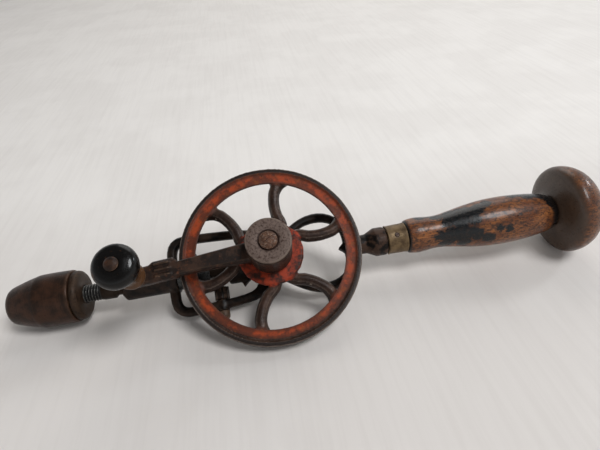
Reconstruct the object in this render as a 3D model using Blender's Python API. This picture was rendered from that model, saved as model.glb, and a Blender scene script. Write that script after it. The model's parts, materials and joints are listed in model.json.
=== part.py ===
"""An old hand drill: a hand-cranked gear wheel drives a bevel pinion on the chuck's spindle.

Tool axes: X runs along the spindle towards the handle, Z along the wheel's axle towards its
face, and both cross at the origin. One empty carries the tool and lays it on the floor, where
it rests on the chuck, the wheel's rim and the head of the handle.
"""

from math import asin, atan2, cos, hypot, pi, radians, sin, sqrt, tan

import bmesh
import bpy
from mathutils import Euler, Matrix, Vector

MM = 0.001

# Fits
CLEARANCE = 0.3 * MM
OVERRUN = 2 * MM
MERGE_DISTANCE = CLEARANCE / 1000

# Gear wheel
WHEEL_RADIUS = 51 * MM
RIM_WIDTH = 9 * MM
RIM_WEB = 5.1 * MM
RIM_CHANNEL = 0.9 * MM
RIM_OUTER_LIP = 2.6 * MM
RIM_INNER_LIP = 1.3 * MM
RIM_INNER_DEPTH = 2.2 * MM
GEAR_TEETH = 72
PINION_TEETH = 18
TOOTH_FACE = 6 * MM
TOOTH_ADDENDUM = 1.2 * MM
TOOTH_DEDENDUM = 1.5 * MM
TOOTH_BACKLASH = 0.14 * MM
PRESSURE_ANGLE = radians(20)
HUB_RADIUS = 12.5 * MM
FLANGE_RADIUS = 18.5 * MM
FLANGE_THICKNESS = 3 * MM
SPOKE_WIDTH = 5.7 * MM
SPOKE_THICKNESS = 5.4 * MM
SPOKE_PAIRS = 3
SPOKE_PAIR_ANGLE = radians(45)
# Each spoke's run: share of the way from the hub's flange to the rim, angle from the pair's
# middle line, and share of the spoke's width.
SPOKE_RUN_SHARES = (
    (-0.20, radians(9), 1.25),
    (0.00, radians(17.5), 1.12),
    (0.22, radians(28.2), 0.98),
    (0.50, radians(32.7), 0.95),
    (0.78, radians(33.1), 0.98),
    (0.95, radians(31.7), 1.25),
    (1.10, radians(30.6), 2.15),
)

# Axle
AXLE_RADIUS = 5 * MM
AXLE_NUT_WIDTH = 14 * MM
AXLE_NUT_HEIGHT = 4.5 * MM
AXLE_WASHER_RADIUS = 8.6 * MM
AXLE_WASHER_THICKNESS = 1.4 * MM

# Crank
CRANK_REACH = 71.6 * MM
CRANK_ANGLE = radians(183.2)
CRANK_BOSS_RADIUS = 12.2 * MM
CRANK_BOSS_HEIGHT = 22 * MM
ARM_RISE = 6.6 * MM
ARM_THICKNESS = 7 * MM
ARM_ROOT_WIDTH = 10.4 * MM
ARM_TIP_WIDTH = 7.4 * MM
PAD_WIDTH = 11 * MM
PAD_SHIFT = 0.8 * MM
PAD_START = 22 * MM
PAD_END = 9 * MM
ARM_END_WIDTH = 9.6 * MM
PAD_RIB_HEIGHT = 0.9 * MM
PAD_RIBS = 3
PAD_RIB_SPACING_SHARE = 0.86
PAD_RIB_HALF_WIDTH_SHARE = 0.3
CAP_RADIUS = 12.1 * MM
CAP_THICKNESS = 1.8 * MM
CAP_RECESS_RADIUS = 5.6 * MM
CAP_RECESS_DEPTH = 0.9 * MM
SCREW_HEAD_RADIUS = 4.7 * MM
SCREW_HEAD_HEIGHT = 2.3 * MM
SCREW_SHANK_RADIUS = 2.4 * MM
SCREW_SHANK_LENGTH = 12 * MM
SCREW_SLOT_WIDTH = 1.1 * MM
SCREW_SLOT_ANGLE = radians(28)
# The screw's domed head: share of its height, share of its radius.
SCREW_HEAD_SHARES = ((0.45, 1.0), (0.8, 0.72), (0.96, 0.36))

# Knob
KNOB_RADIUS = 11 * MM
KNOB_HEIGHT = 27.8 * MM
KNOB_RIVET_RADIUS = 2.2 * MM
KNOB_RIVET_HEAD_RADIUS = 3.9 * MM
KNOB_RIVET_HEAD_HEIGHT = 1.6 * MM
KNOB_RIVET_TAIL_SHARES = (0.8, 0.7)
KNOB_RIVET_HEAD_SHARES = ((0.45, 0.88), (0.85, 0.5))
KNOB_WASHER_RADIUS = 6.6 * MM
KNOB_WASHER_THICKNESS = 1 * MM
# The knob's outline: share of its height, share of its radius.
KNOB_SHARES = (
    (0.00, 0.60), (0.04, 0.64), (0.09, 0.60), (0.16, 0.52), (0.29, 0.53), (0.44, 0.62),
    (0.58, 0.78), (0.70, 0.94), (0.80, 1.00), (0.89, 0.96), (0.96, 0.80), (1.00, 0.46),
)

# Spindle, pinion and chuck
SPINDLE_RADIUS = 4 * MM
PINION_FACE = 6.2 * MM
PINION_INSET = 0.8 * MM
PINION_BACK_HUB = 3 * MM
PINION_BACK_HUB_RADIUS = 8 * MM
PINION_FRONT_HUB = 7 * MM
PINION_FRONT_HUB_RADIUS = 7 * MM
PINION_PIN_RADIUS = 1.2 * MM
THRUST_WASHER_THICKNESS = 1.9 * MM
THRUST_WASHER_RADIUS = 7.6 * MM
THREAD_RADIUS = 5.1 * MM
THREAD_EXPOSED = 9.8 * MM
COLLAR_RADIUS = 5.4 * MM
COLLAR_LENGTH = 8.4 * MM
NECK_RADIUS = 4.1 * MM
NECK_LENGTH = 2.6 * MM
SPINDLE_TAIL_GAP = 3 * MM
CHUCK_RADIUS = 15.4 * MM
CHUCK_SHELL_LENGTH = 32.4 * MM
CHUCK_NOSE_RADIUS = 8.8 * MM
CHUCK_WALL = 3.6 * MM
CHUCK_RING_RADIUS = 14.2 * MM
CHUCK_RING_LENGTH = 7.6 * MM
CHUCK_GROOVE = 1.1 * MM
CHUCK_SPIGOT_LENGTH = 5 * MM
JAW_CONE_ANGLE = radians(24)
JAW_LENGTH = 17 * MM
JAW_SOCKET_RADIUS = 3.5 * MM
JAW_TRAVEL = 4.6 * MM
JAW_SIDE_GAP = 0.35 * MM
JAW_RECESS = 0.8 * MM
JAWS = 3
FOLLOWER_THICKNESS = 2.2 * MM
# The chuck shell's barrel: share of the shell's length, share of its radius.
CHUCK_BARREL_SHARES = ((0.355, 0.982), (0.45, 1.0), (0.75, 1.0), (0.93, 0.985), (1.0, 0.955))

# Frame
BAR_DEPTH = 6 * MM
LOOP_HEIGHT = 48.4 * MM
LOOP_WALL = 5.7 * MM
REAR_LOOP_LENGTH = 52 * MM
NOSE_RADIUS = 8.2 * MM
NOSE_LENGTH = 24.5 * MM
NOSE_CONE = 2.6 * MM
REAR_BEARING_RADIUS = 8.5 * MM
REAR_BEARING_REACH = 27.4 * MM
REAR_BEARING_SWELL = 1.1 * MM
AXLE_BOSS_RADIUS = 12 * MM
AXLE_BOSS_FRONT = 8.7 * MM
AXLE_BOSS_BACK = 8.9 * MM
REAR_CUSP_REACH = 3.1 * MM
REAR_CUSP_WIDTH = 8.4 * MM
LOWER_CUSP_REACH = 3 * MM
LOWER_CUSP_WIDTH = 6.4 * MM
CUSP_THICKNESS = 5 * MM
TAIL_NECK_RADIUS = 5.8 * MM
TAIL_SWELL_RADIUS = 8.6 * MM
TAIL_LENGTH = 17.5 * MM
TANG_RADIUS = 5 * MM
TANG_LENGTH = 26 * MM
# Where the tail's neck ends and its swell starts, as shares of its length
TAIL_NECK_SHARE = 0.28
TAIL_SWELL_SHARE = 0.60
NOSE_FILLET_SHARE = 0.8
# Half outlines of the two loops: outer and inner point of the bar at each station, as shares of
# the loop's length from its outer end to the axle and of half its height.
FRONT_LOOP_SHARES = (
    ((0.00, 0.00), (0.00, 0.00)),
    ((0.00, 0.45), (0.00, 0.42)),
    ((0.02, 0.77), (0.012, 0.65)),
    ((0.09, 0.955), (0.055, 0.76)),
    ((0.20, 1.00), (0.15, 0.78)),
    ((0.45, 0.975), (0.40, 0.755)),
    ((0.70, 0.92), (0.66, 0.71)),
    ((0.87, 0.82), (0.785, 0.61)),
    ((0.985, 0.60), (0.836, 0.38)),
    ((1.05, 0.36), (0.846, 0.17)),
    ((1.065, 0.00), (0.846, 0.00)),
)
REAR_LOOP_SHARES = (
    ((-0.07, 0.00), (0.221, 0.00)),
    ((-0.045, 0.27), (0.228, 0.20)),
    ((0.06, 0.49), (0.258, 0.42)),
    ((0.22, 0.73), (0.335, 0.63)),
    ((0.38, 0.92), (0.435, 0.745)),
    ((0.53, 1.00), (0.558, 0.777)),
    ((0.68, 0.97), (0.665, 0.75)),
    ((0.82, 0.80), (0.765, 0.64)),
    ((0.915, 0.53), (0.821, 0.445)),
    ((0.98, 0.27), (0.837, 0.21)),
    ((1.00, 0.00), (0.832, 0.00)),
)
# Heights of the lower bar's outer and inner side at the stud, as shares of half the loop's height
STUD_BAR_SHARES = (0.985, 0.75)

# Side stud in the lower bar of the front loop
STUD_PLACE = 32 * MM
STUD_RADIUS = 2.6 * MM
STUD_END_RADIUS = 3.2 * MM
STUD_END_LENGTH = 5.8 * MM
STUD_EYE_RADIUS = 0.95 * MM
STUD_EYE_EDGE = 2.1 * MM
STUD_NUT_RADIUS = 4.3 * MM
STUD_NUT_HEIGHT = 6.8 * MM
STUD_NUT_NOTCHES = 8
# One notch of the nut: share of the turn from notch to notch, share of the nut's radius.
STUD_NUT_NOTCH_SHARES = ((0.0, 1.0), (0.5, 1.0), (0.6, 0.84), (0.9, 0.84))

# Handle
FERRULE_RADIUS = 8.6 * MM
FERRULE_FLARE = 0.3 * MM
FERRULE_LENGTH = 12 * MM
FERRULE_WALL = 1 * MM
FERRULE_PIN_RADIUS = 1.2 * MM
FERRULE_PIN_SHARE = 0.46
GRIP_LENGTH = 92 * MM
GRIP_RADIUS = 14.5 * MM
GRIP_TENON_RADIUS = 6 * MM
GRIP_TENON_LENGTH = 13 * MM
HEAD_RADIUS = 26.8 * MM
HEAD_LENGTH = 28 * MM
# Turned outlines: share of the length, share of the radius.
GRIP_SHARES = (
    (0.00, 0.640), (0.015, 0.70), (0.065, 0.742), (0.11, 0.722), (0.165, 0.682), (0.23, 0.682),
    (0.31, 0.765), (0.41, 0.878), (0.51, 0.965), (0.61, 1.00), (0.72, 0.99), (0.82, 0.94),
    (0.90, 0.87), (0.96, 0.78), (1.00, 0.68),
)
HEAD_SHARES = (
    (0.00, 0.36), (0.05, 0.52), (0.09, 0.78), (0.14, 0.92), (0.22, 0.985), (0.31, 1.00),
    (0.45, 0.975), (0.61, 0.89), (0.76, 0.73), (0.88, 0.52), (0.96, 0.29), (1.00, 0.00),
)

# Facets round a turned piece, by how large it is
FINE = 30
MEDIUM = 20
COARSE = 12
# Edges sharper than this stay sharp when a piece is shaded.
SHARP_ANGLE = radians(38)


# Places worked out from the sizes above. Distances along the spindle count from the axle.

GEAR_RATIO = GEAR_TEETH / PINION_TEETH
TOOTH_PITCH_ANGLE = 2 * pi / GEAR_TEETH
RIM_INNER_RADIUS = WHEEL_RADIUS - RIM_WIDTH
WHEEL_FACE = WHEEL_RADIUS / GEAR_RATIO + TOOTH_DEDENDUM + RIM_WEB
PINION_BACK = WHEEL_RADIUS - PINION_INSET
PINION_FRONT = PINION_BACK - PINION_FACE
PINION_PIN_PLACE = PINION_FRONT - PINION_FRONT_HUB / 2
LOOP_INSIDE = PINION_BACK + PINION_BACK_HUB + THRUST_WASHER_THICKNESS + 2 * CLEARANCE
LOOP_OUTSIDE = LOOP_INSIDE + LOOP_WALL
NOSE_END = LOOP_OUTSIDE + NOSE_LENGTH + NOSE_CONE
COLLAR_BACK = NOSE_END + NECK_LENGTH
COLLAR_FRONT = COLLAR_BACK + COLLAR_LENGTH
CHUCK_BACK = COLLAR_FRONT + THREAD_EXPOSED
CHUCK_RING_FRONT = CHUCK_BACK + CHUCK_RING_LENGTH
CHUCK_SHELL_BACK = CHUCK_RING_FRONT + CHUCK_GROOVE
CHUCK_NOSE = CHUCK_SHELL_BACK + CHUCK_SHELL_LENGTH
CHUCK_BORE_RADIUS = CHUCK_RADIUS - CHUCK_WALL
JAW_CLOSING = JAW_TRAVEL * tan(JAW_CONE_ANGLE)
JAW_FRONT = CHUCK_NOSE - JAW_RECESS
JAW_BACK = JAW_FRONT - JAW_LENGTH
SPINDLE_TAIL = AXLE_RADIUS + CLEARANCE + SPINDLE_TAIL_GAP
BOSS_BACK = -AXLE_BOSS_BACK
HUB_BACK = AXLE_BOSS_FRONT + CLEARANCE
CRANK_BASE = WHEEL_FACE + CLEARANCE
CRANK_TOP = CRANK_BASE + CRANK_BOSS_HEIGHT
ARM_BACK = WHEEL_FACE + ARM_RISE
ARM_FRONT = ARM_BACK + ARM_THICKNESS
CAP_BACK = CRANK_TOP + CLEARANCE
CAP_FRONT = CAP_BACK + CAP_THICKNESS
AXLE_TOP = CRANK_TOP - CLEARANCE
KNOB_PLACE = Vector((CRANK_REACH * cos(CRANK_ANGLE), CRANK_REACH * sin(CRANK_ANGLE), 0))
KNOB_BASE = ARM_FRONT + KNOB_WASHER_THICKNESS + 2 * CLEARANCE
KNOB_TOP = KNOB_BASE + KNOB_HEIGHT
TAIL_END = REAR_LOOP_LENGTH + TAIL_LENGTH - CLEARANCE
FERRULE_FRONT = REAR_LOOP_LENGTH + TAIL_LENGTH
FERRULE_BACK = FERRULE_FRONT + FERRULE_LENGTH
FERRULE_PIN_PLACE = FERRULE_FRONT + FERRULE_LENGTH * FERRULE_PIN_SHARE
GRIP_FRONT = FERRULE_BACK + CLEARANCE
GRIP_BACK = GRIP_FRONT + GRIP_LENGTH
HEAD_FRONT = GRIP_BACK + CLEARANCE


# Small tools for making pieces

def cleared_scene():
    """Empties the scene."""
    for obj in list(bpy.data.objects):
        bpy.data.objects.remove(obj, do_unlink=True)


def finish(name, color, roughness, metallic=0.0):
    """A Principled material."""
    material = bpy.data.materials.new(name)
    material.use_nodes = True
    shader = material.node_tree.nodes["Principled BSDF"]
    shader.inputs["Base Color"].default_value = (*color, 1)
    shader.inputs["Roughness"].default_value = roughness
    shader.inputs["Metallic"].default_value = metallic
    material.diffuse_color = (*color, 1)
    return material


def solid(name, bm, parent, material=None, place=(0, 0, 0)):
    """An object from closed faces, with its normals facing out."""
    bmesh.ops.recalc_face_normals(bm, faces=bm.faces)
    mesh = bpy.data.meshes.new(name)
    bm.to_mesh(mesh)
    bm.free()
    mesh.shade_smooth()
    mesh.set_sharp_from_angle(angle=SHARP_ANGLE)
    obj = bpy.data.objects.new(name, mesh)
    bpy.context.scene.collection.objects.link(obj)
    obj.parent = parent
    obj.location = place
    if material:
        mesh.materials.append(material)
    return obj


def along(axis, distance, radius, angle=0.0):
    """The point at this distance along X, Y or Z and this radius from that axis."""
    across = (radius * cos(angle), radius * sin(angle))
    if axis == "X":
        return Vector((distance, across[1], across[0]))
    if axis == "Y":
        return Vector((across[0], distance, across[1]))
    return Vector((across[0], across[1], distance))


def turned(outline, axis, steps, centre=(0, 0, 0)):
    """A turned body: the closed outline of (distance, radius) spun about the axis."""
    bm = bmesh.new()
    corners = [bm.verts.new(along(axis, distance, radius)) for distance, radius in outline]
    edges = [bm.edges.new((a, b)) for a, b in zip(corners, corners[1:] + corners[:1])
             if not on_axis(a, axis) or not on_axis(b, axis)]
    direction = along(axis, 1, 0)
    bmesh.ops.spin(bm, geom=corners + edges, cent=(0, 0, 0), axis=direction, angle=2 * pi,
                   steps=steps, use_merge=True, use_duplicate=False)
    bmesh.ops.remove_doubles(bm, verts=bm.verts, dist=MERGE_DISTANCE)
    for end, beside in ((outline[0], outline[1]), (outline[-1], outline[-2])):
        if end[1] == 0 and end[0] == beside[0]:
            middle = min(bm.verts, key=lambda v: (v.co - along(axis, end[0], 0)).length)
            bmesh.ops.dissolve_verts(bm, verts=[middle])
    bmesh.ops.translate(bm, verts=bm.verts, vec=Vector(centre))
    return bm


def on_axis(corner, axis):
    """Whether this corner of an outline lies on the axis that it is spun about."""
    return (corner.co - along(axis, 1, 0) * corner.co.dot(along(axis, 1, 0))).length == 0


def rod(axis, start, end, radius, steps=COARSE, centre=(0, 0, 0)):
    """A plain round bar along an axis."""
    outline = [(start, 0), (start, radius), (end, radius), (end, 0)]
    return turned(outline, axis, steps, centre)


def lofted(sections, closed_path=False):
    """Skins sections of equal point counts, with caps unless the path is closed."""
    bm = bmesh.new()
    rings = [[bm.verts.new(point) for point in section] for section in sections]
    pairs = list(zip(rings, rings[1:]))
    if closed_path:
        pairs.append((rings[-1], rings[0]))
    for here, there in pairs:
        for i in range(len(here)):
            j = (i + 1) % len(here)
            bm.faces.new((here[i], here[j], there[j], there[i]))
    if not closed_path:
        bm.faces.new(rings[0])
        bm.faces.new(rings[-1][::-1])
    return bm


def prism(outline, axis, start, end):
    """An outline of points across the axis, extruded along it."""
    if axis == "X":
        ends = [[Vector((d, u, v)) for u, v in outline] for d in (start, end)]
    elif axis == "Y":
        ends = [[Vector((u, d, v)) for u, v in outline] for d in (start, end)]
    else:
        ends = [[Vector((u, v, d)) for u, v in outline] for d in (start, end)]
    return lofted(ends)


def smooth_curve(points, pieces):
    """A Catmull-Rom curve through the points, with this many pieces between neighbours."""
    points = [Vector(p) for p in points]
    ends = [2 * points[0] - points[1], *points, 2 * points[-1] - points[-2]]
    curve = []
    for a, b, c, d in zip(ends, ends[1:], ends[2:], ends[3:]):
        for i in range(pieces):
            t = i / pieces
            curve.append(0.5 * (2 * b + (c - a) * t + (2 * a - 5 * b + 4 * c - d) * t**2
                                + (3 * b - a - 3 * c + d) * t**3))
    curve.append(points[-1])
    return curve


def combine(target, bm, operation):
    """Adds a hidden helper body to the target, or cuts it away, by a Boolean."""
    helper = solid(f"{target.name}_{operation.lower()}_{len(target.modifiers)}", bm,
                   target.parent, place=target.location)
    helper.hide_render = True
    helper.display_type = "WIRE"
    modifier = target.modifiers.new(operation.title(), "BOOLEAN")
    modifier.operation = operation
    modifier.solver = "EXACT"
    modifier.object = helper


def add(target, bm):
    combine(target, bm, "UNION")


def cut(target, bm):
    combine(target, bm, "DIFFERENCE")


# Gear teeth. All tooth surfaces are cones through the origin, where both axes cross, so every
# height and width grows with the distance from it. Heights and widths are those at the rim.

def toothed_rim():
    """The rim: a channelled face in front and bevel teeth behind, one flat facet for each tooth."""
    half_pitch = pi * WHEEL_RADIUS / GEAR_TEETH / 2 - TOOTH_BACKLASH
    half_tip = half_pitch - TOOTH_ADDENDUM * tan(PRESSURE_ANGLE)
    half_root = half_pitch + TOOTH_DEDENDUM * tan(PRESSURE_ANGLE)
    facet = 2 * WHEEL_RADIUS * sin(TOOTH_PITCH_ANGLE / 2)
    root = WHEEL_RADIUS / GEAR_RATIO + TOOTH_DEDENDUM
    tip = WHEEL_RADIUS / GEAR_RATIO - TOOTH_ADDENDUM
    tooth = [(0, root), (half_root - half_tip, tip), (half_root + half_tip, tip),
             (2 * half_root, root)]
    inner_scale = (WHEEL_RADIUS - TOOTH_FACE) / WHEEL_RADIUS
    lip_start = WHEEL_RADIUS - RIM_OUTER_LIP
    floor = WHEEL_FACE - RIM_CHANNEL
    face = [
        (WHEEL_RADIUS, WHEEL_FACE),
        (lip_start, WHEEL_FACE),
        (lip_start - RIM_CHANNEL / 2, floor),
        (RIM_INNER_RADIUS + RIM_INNER_LIP, floor),
        (RIM_INNER_RADIUS, WHEEL_FACE - RIM_CHANNEL / 4),
        (RIM_INNER_RADIUS, WHEEL_FACE - RIM_INNER_DEPTH),
        (WHEEL_RADIUS - TOOTH_FACE - RIM_INNER_LIP / 4, root * inner_scale),
    ]
    bm = bmesh.new()
    faces, outer, inner = [], [], []
    for index in range(GEAR_TEETH):
        angle = index * TOOTH_PITCH_ANGLE - half_root / WHEEL_RADIUS
        corner = along("Z", 0, WHEEL_RADIUS, angle)
        along_facet = (along("Z", 0, WHEEL_RADIUS, angle + TOOTH_PITCH_ANGLE) - corner) / facet
        points = [corner + along_facet * x + Vector((0, 0, z)) for x, z in tooth]
        outer.append([bm.verts.new(point) for point in points])
        inner.append([bm.verts.new(point * inner_scale) for point in points])
        faces.append([bm.verts.new(along("Z", z, r, angle)) for r, z in face])
    for index in range(GEAR_TEETH):
        after = (index + 1) % GEAR_TEETH
        here, there = faces[index], faces[after]
        for i in range(len(face) - 1):
            bm.faces.new((here[i], here[i + 1], there[i + 1], there[i]))
        out, ins = outer[index], inner[index]
        bm.faces.new((here[0], there[0], outer[after][0], *reversed(out)))
        bm.faces.new((here[-1], ins[0], ins[-1], inner[after][0], there[-1]))
        bm.faces.new(ins)
        for a, b, c, d in zip(out + outer[after][:1], out[1:] + outer[after][:1],
                              ins + inner[after][:1], ins[1:] + inner[after][:1]):
            if a is not b:
                bm.faces.new((a, b, d, c))
    return bm


def involute(angle):
    return tan(angle) - angle


def pinion_section(distance, turn):
    """The pinion's toothed outline at this distance from the origin."""
    cone = asin(1 / sqrt(1 + GEAR_RATIO**2))
    pitch_radius = WHEEL_RADIUS / GEAR_RATIO
    flat_radius = pitch_radius / cos(cone)
    base_radius = flat_radius * cos(PRESSURE_ANGLE)
    half_pitch = pi * pitch_radius / PINION_TEETH / 2 - TOOTH_BACKLASH
    heights = (-TOOTH_DEDENDUM, -TOOTH_DEDENDUM / 3, TOOTH_ADDENDUM / 2, TOOTH_ADDENDUM)
    flank = []
    for height in heights:
        reach = max(flat_radius + height, base_radius)
        pressure = atan2(sqrt(max(reach**2 - base_radius**2, 0)), base_radius)
        width = half_pitch / flat_radius + involute(PRESSURE_ANGLE) - involute(pressure)
        radius = pitch_radius + height
        flank.append((radius, width * (flat_radius + height) / radius))
    scale = distance / WHEEL_RADIUS
    section = []
    for tooth in range(PINION_TEETH):
        middle = turn + tooth * 2 * pi / PINION_TEETH
        for radius, half in flank:
            section.append(along("X", -distance, radius * scale, middle - half))
        for radius, half in reversed(flank):
            section.append(along("X", -distance, radius * scale, middle + half))
    return section


# Pieces

def make_gear_wheel(parent, paint):
    """Rim, six curved spokes in mirrored pairs, hub and flange in one casting."""
    wheel = solid("gear_wheel", toothed_rim(), parent, paint)
    flange_edge = FLANGE_THICKNESS / 4
    hub = [
        (HUB_BACK, AXLE_RADIUS + CLEARANCE),
        (HUB_BACK, HUB_RADIUS),
        (WHEEL_FACE - 2 * FLANGE_THICKNESS, HUB_RADIUS),
        (WHEEL_FACE - FLANGE_THICKNESS, FLANGE_RADIUS),
        (WHEEL_FACE - flange_edge, FLANGE_RADIUS),
        (WHEEL_FACE, FLANGE_RADIUS - flange_edge),
        (WHEEL_FACE, AXLE_RADIUS + CLEARANCE),
    ]
    add(wheel, turned(hub, "Z", MEDIUM))
    for pair in range(SPOKE_PAIRS):
        for side in (1, -1):
            middle = SPOKE_PAIR_ANGLE + pair * 2 * pi / SPOKE_PAIRS
            add(wheel, spoke(middle, side))
    return wheel


def spoke(middle, side):
    """One spoke, swept along its curved run, flat behind and rounded in front."""
    span = RIM_INNER_RADIUS - FLANGE_RADIUS
    depth = WHEEL_FACE - RIM_CHANNEL - SPOKE_THICKNESS
    section_shares = ((-1, 0), (-1, 0.4), (-0.6, 0.92), (0, 1), (0.6, 0.92), (1, 0.4), (1, 0))
    run = []
    for share, angle, width_share in SPOKE_RUN_SHARES:
        reach = FLANGE_RADIUS + span * share
        turn = middle + side * angle
        run.append((Vector((reach * cos(turn), reach * sin(turn), 0)), width_share))
    curve = smooth_curve([point for point, _ in run], 2)
    widths = smooth_curve([(width, 0) for _, width in run], 2)
    sections = []
    for i, point in enumerate(curve):
        ahead = curve[min(i + 1, len(curve) - 1)] - curve[max(i - 1, 0)]
        across = Vector((-ahead.y, ahead.x, 0)).normalized() * widths[i].x * SPOKE_WIDTH / 2
        sections.append([point + across * u + Vector((0, 0, depth + SPOKE_THICKNESS * v))
                         for u, v in section_shares])
    return lofted(sections)


def make_axle(parent, steel):
    """The axle turns with the wheel in the frame's boss, held by a washer and a nut behind."""
    washer_front = BOSS_BACK - CLEARANCE
    washer_back = washer_front - AXLE_WASHER_THICKNESS
    nut_front = washer_back - CLEARANCE
    nut_back = nut_front - AXLE_NUT_HEIGHT
    end = nut_back - AXLE_RADIUS / 4
    chamfer = AXLE_RADIUS / 6
    outline = [(end, 0), (end, AXLE_RADIUS - chamfer), (end + chamfer, AXLE_RADIUS),
               (AXLE_TOP - chamfer, AXLE_RADIUS), (AXLE_TOP, AXLE_RADIUS - chamfer), (AXLE_TOP, 0)]
    axle = solid("axle", turned(outline, "Z", COARSE), parent, steel)
    cut(axle, rod("Z", AXLE_TOP - SCREW_SHANK_LENGTH, AXLE_TOP + OVERRUN,
                  SCREW_SHANK_RADIUS + CLEARANCE))
    hole = AXLE_RADIUS + CLEARANCE
    washer = [(washer_back, hole), (washer_back, AXLE_WASHER_RADIUS),
              (washer_front, AXLE_WASHER_RADIUS), (washer_front, hole)]
    solid("axle_washer", turned(washer, "Z", COARSE), parent, steel)
    corner = AXLE_NUT_WIDTH / sqrt(3)
    hexagon = [(corner * cos(i * pi / 3), corner * sin(i * pi / 3)) for i in range(6)]
    nut = solid("axle_nut", prism(hexagon, "Z", nut_back, nut_front), parent, steel)
    cut(nut, rod("Z", nut_back - OVERRUN, nut_front + OVERRUN, hole))


def make_crank(parent, iron):
    """Tall boss on the axle, a tapering arm, and a ribbed pad that ends round under the knob."""
    edge = CRANK_BOSS_RADIUS / 12
    boss = [
        (CRANK_BASE, AXLE_RADIUS + CLEARANCE),
        (CRANK_BASE, CRANK_BOSS_RADIUS - edge),
        (CRANK_BASE + edge, CRANK_BOSS_RADIUS),
        (CRANK_TOP - edge, CRANK_BOSS_RADIUS),
        (CRANK_TOP, CRANK_BOSS_RADIUS - edge),
        (CRANK_TOP, AXLE_RADIUS + CLEARANCE),
    ]
    crank = solid("crank_arm", turned(boss, "Z", MEDIUM), parent, iron)
    add(crank, crank_bar())
    turn = Matrix.Rotation(CRANK_ANGLE, 4, "Z")
    for rib in range(PAD_RIBS):
        add(crank, pad_rib(rib, turn))
    cut(crank, rod("Z", CRANK_BASE - OVERRUN, CRANK_TOP + OVERRUN, AXLE_RADIUS + CLEARANCE))
    cut(crank, rod("Z", ARM_BACK - OVERRUN, ARM_FRONT + OVERRUN, KNOB_RIVET_RADIUS + CLEARANCE,
                   centre=KNOB_PLACE))


def crank_bar():
    """The arm and its pad: an outline with rounded edges, pointing from the axle to the knob."""
    pad_start = CRANK_REACH - PAD_START
    pad_end = CRANK_REACH - PAD_END
    blend = PAD_WIDTH / 10
    # Each section's distance from the axle, its half width and its shift to one side.
    run = [
        (AXLE_RADIUS + 2 * CLEARANCE, ARM_ROOT_WIDTH / 2, 0),
        (CRANK_BOSS_RADIUS, ARM_ROOT_WIDTH / 2, 0),
        ((CRANK_BOSS_RADIUS + pad_start) / 2, (ARM_ROOT_WIDTH + ARM_TIP_WIDTH) / 4, 0),
        (pad_start - blend, ARM_TIP_WIDTH / 2, 0),
        (pad_start + blend, PAD_WIDTH / 2, -PAD_SHIFT),
        (pad_end - blend, PAD_WIDTH / 2, -PAD_SHIFT),
        (pad_end + blend, ARM_END_WIDTH / 2, 0),
        (CRANK_REACH, ARM_END_WIDTH / 2, 0),
    ]
    end_steps = 5
    for i in range(1, end_steps):
        swing = i * pi / 2 / end_steps
        run.append((CRANK_REACH + ARM_END_WIDTH / 2 * sin(swing),
                    ARM_END_WIDTH / 2 * cos(swing), 0))
    section_shares = ((-1, 0.2), (-1, 0.8), (-0.8, 1), (0.8, 1),
                      (1, 0.8), (1, 0.2), (0.8, 0), (-0.8, 0))
    turn = Matrix.Rotation(CRANK_ANGLE, 4, "Z")
    sections = []
    for distance, half, shift in run:
        sections.append([turn @ Vector((distance, shift + half * u, ARM_BACK + ARM_THICKNESS * v))
                         for u, v in section_shares])
    return lofted(sections)


def pad_rib(index, turn):
    """One raised rib along the pad's front."""
    spacing = PAD_WIDTH / PAD_RIBS * PAD_RIB_SPACING_SHARE
    offset = (index - (PAD_RIBS - 1) / 2) * spacing - PAD_SHIFT
    half = spacing * PAD_RIB_HALF_WIDTH_SHARE
    start = CRANK_REACH - PAD_START + PAD_WIDTH / 5
    end = CRANK_REACH - PAD_END - PAD_WIDTH / 8
    top = ARM_FRONT + PAD_RIB_HEIGHT
    low = ARM_FRONT - PAD_RIB_HEIGHT
    sections = []
    for distance, rise in ((start, ARM_FRONT), (start + 2 * PAD_RIB_HEIGHT, top),
                           (end - PAD_RIB_HEIGHT, top), (end, ARM_FRONT)):
        sections.append([turn @ Vector(point) for point in (
            (distance, offset - half, low), (distance, offset - half / 2, rise),
            (distance, offset + half / 2, rise), (distance, offset + half, low))])
    return lofted(sections)


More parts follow.
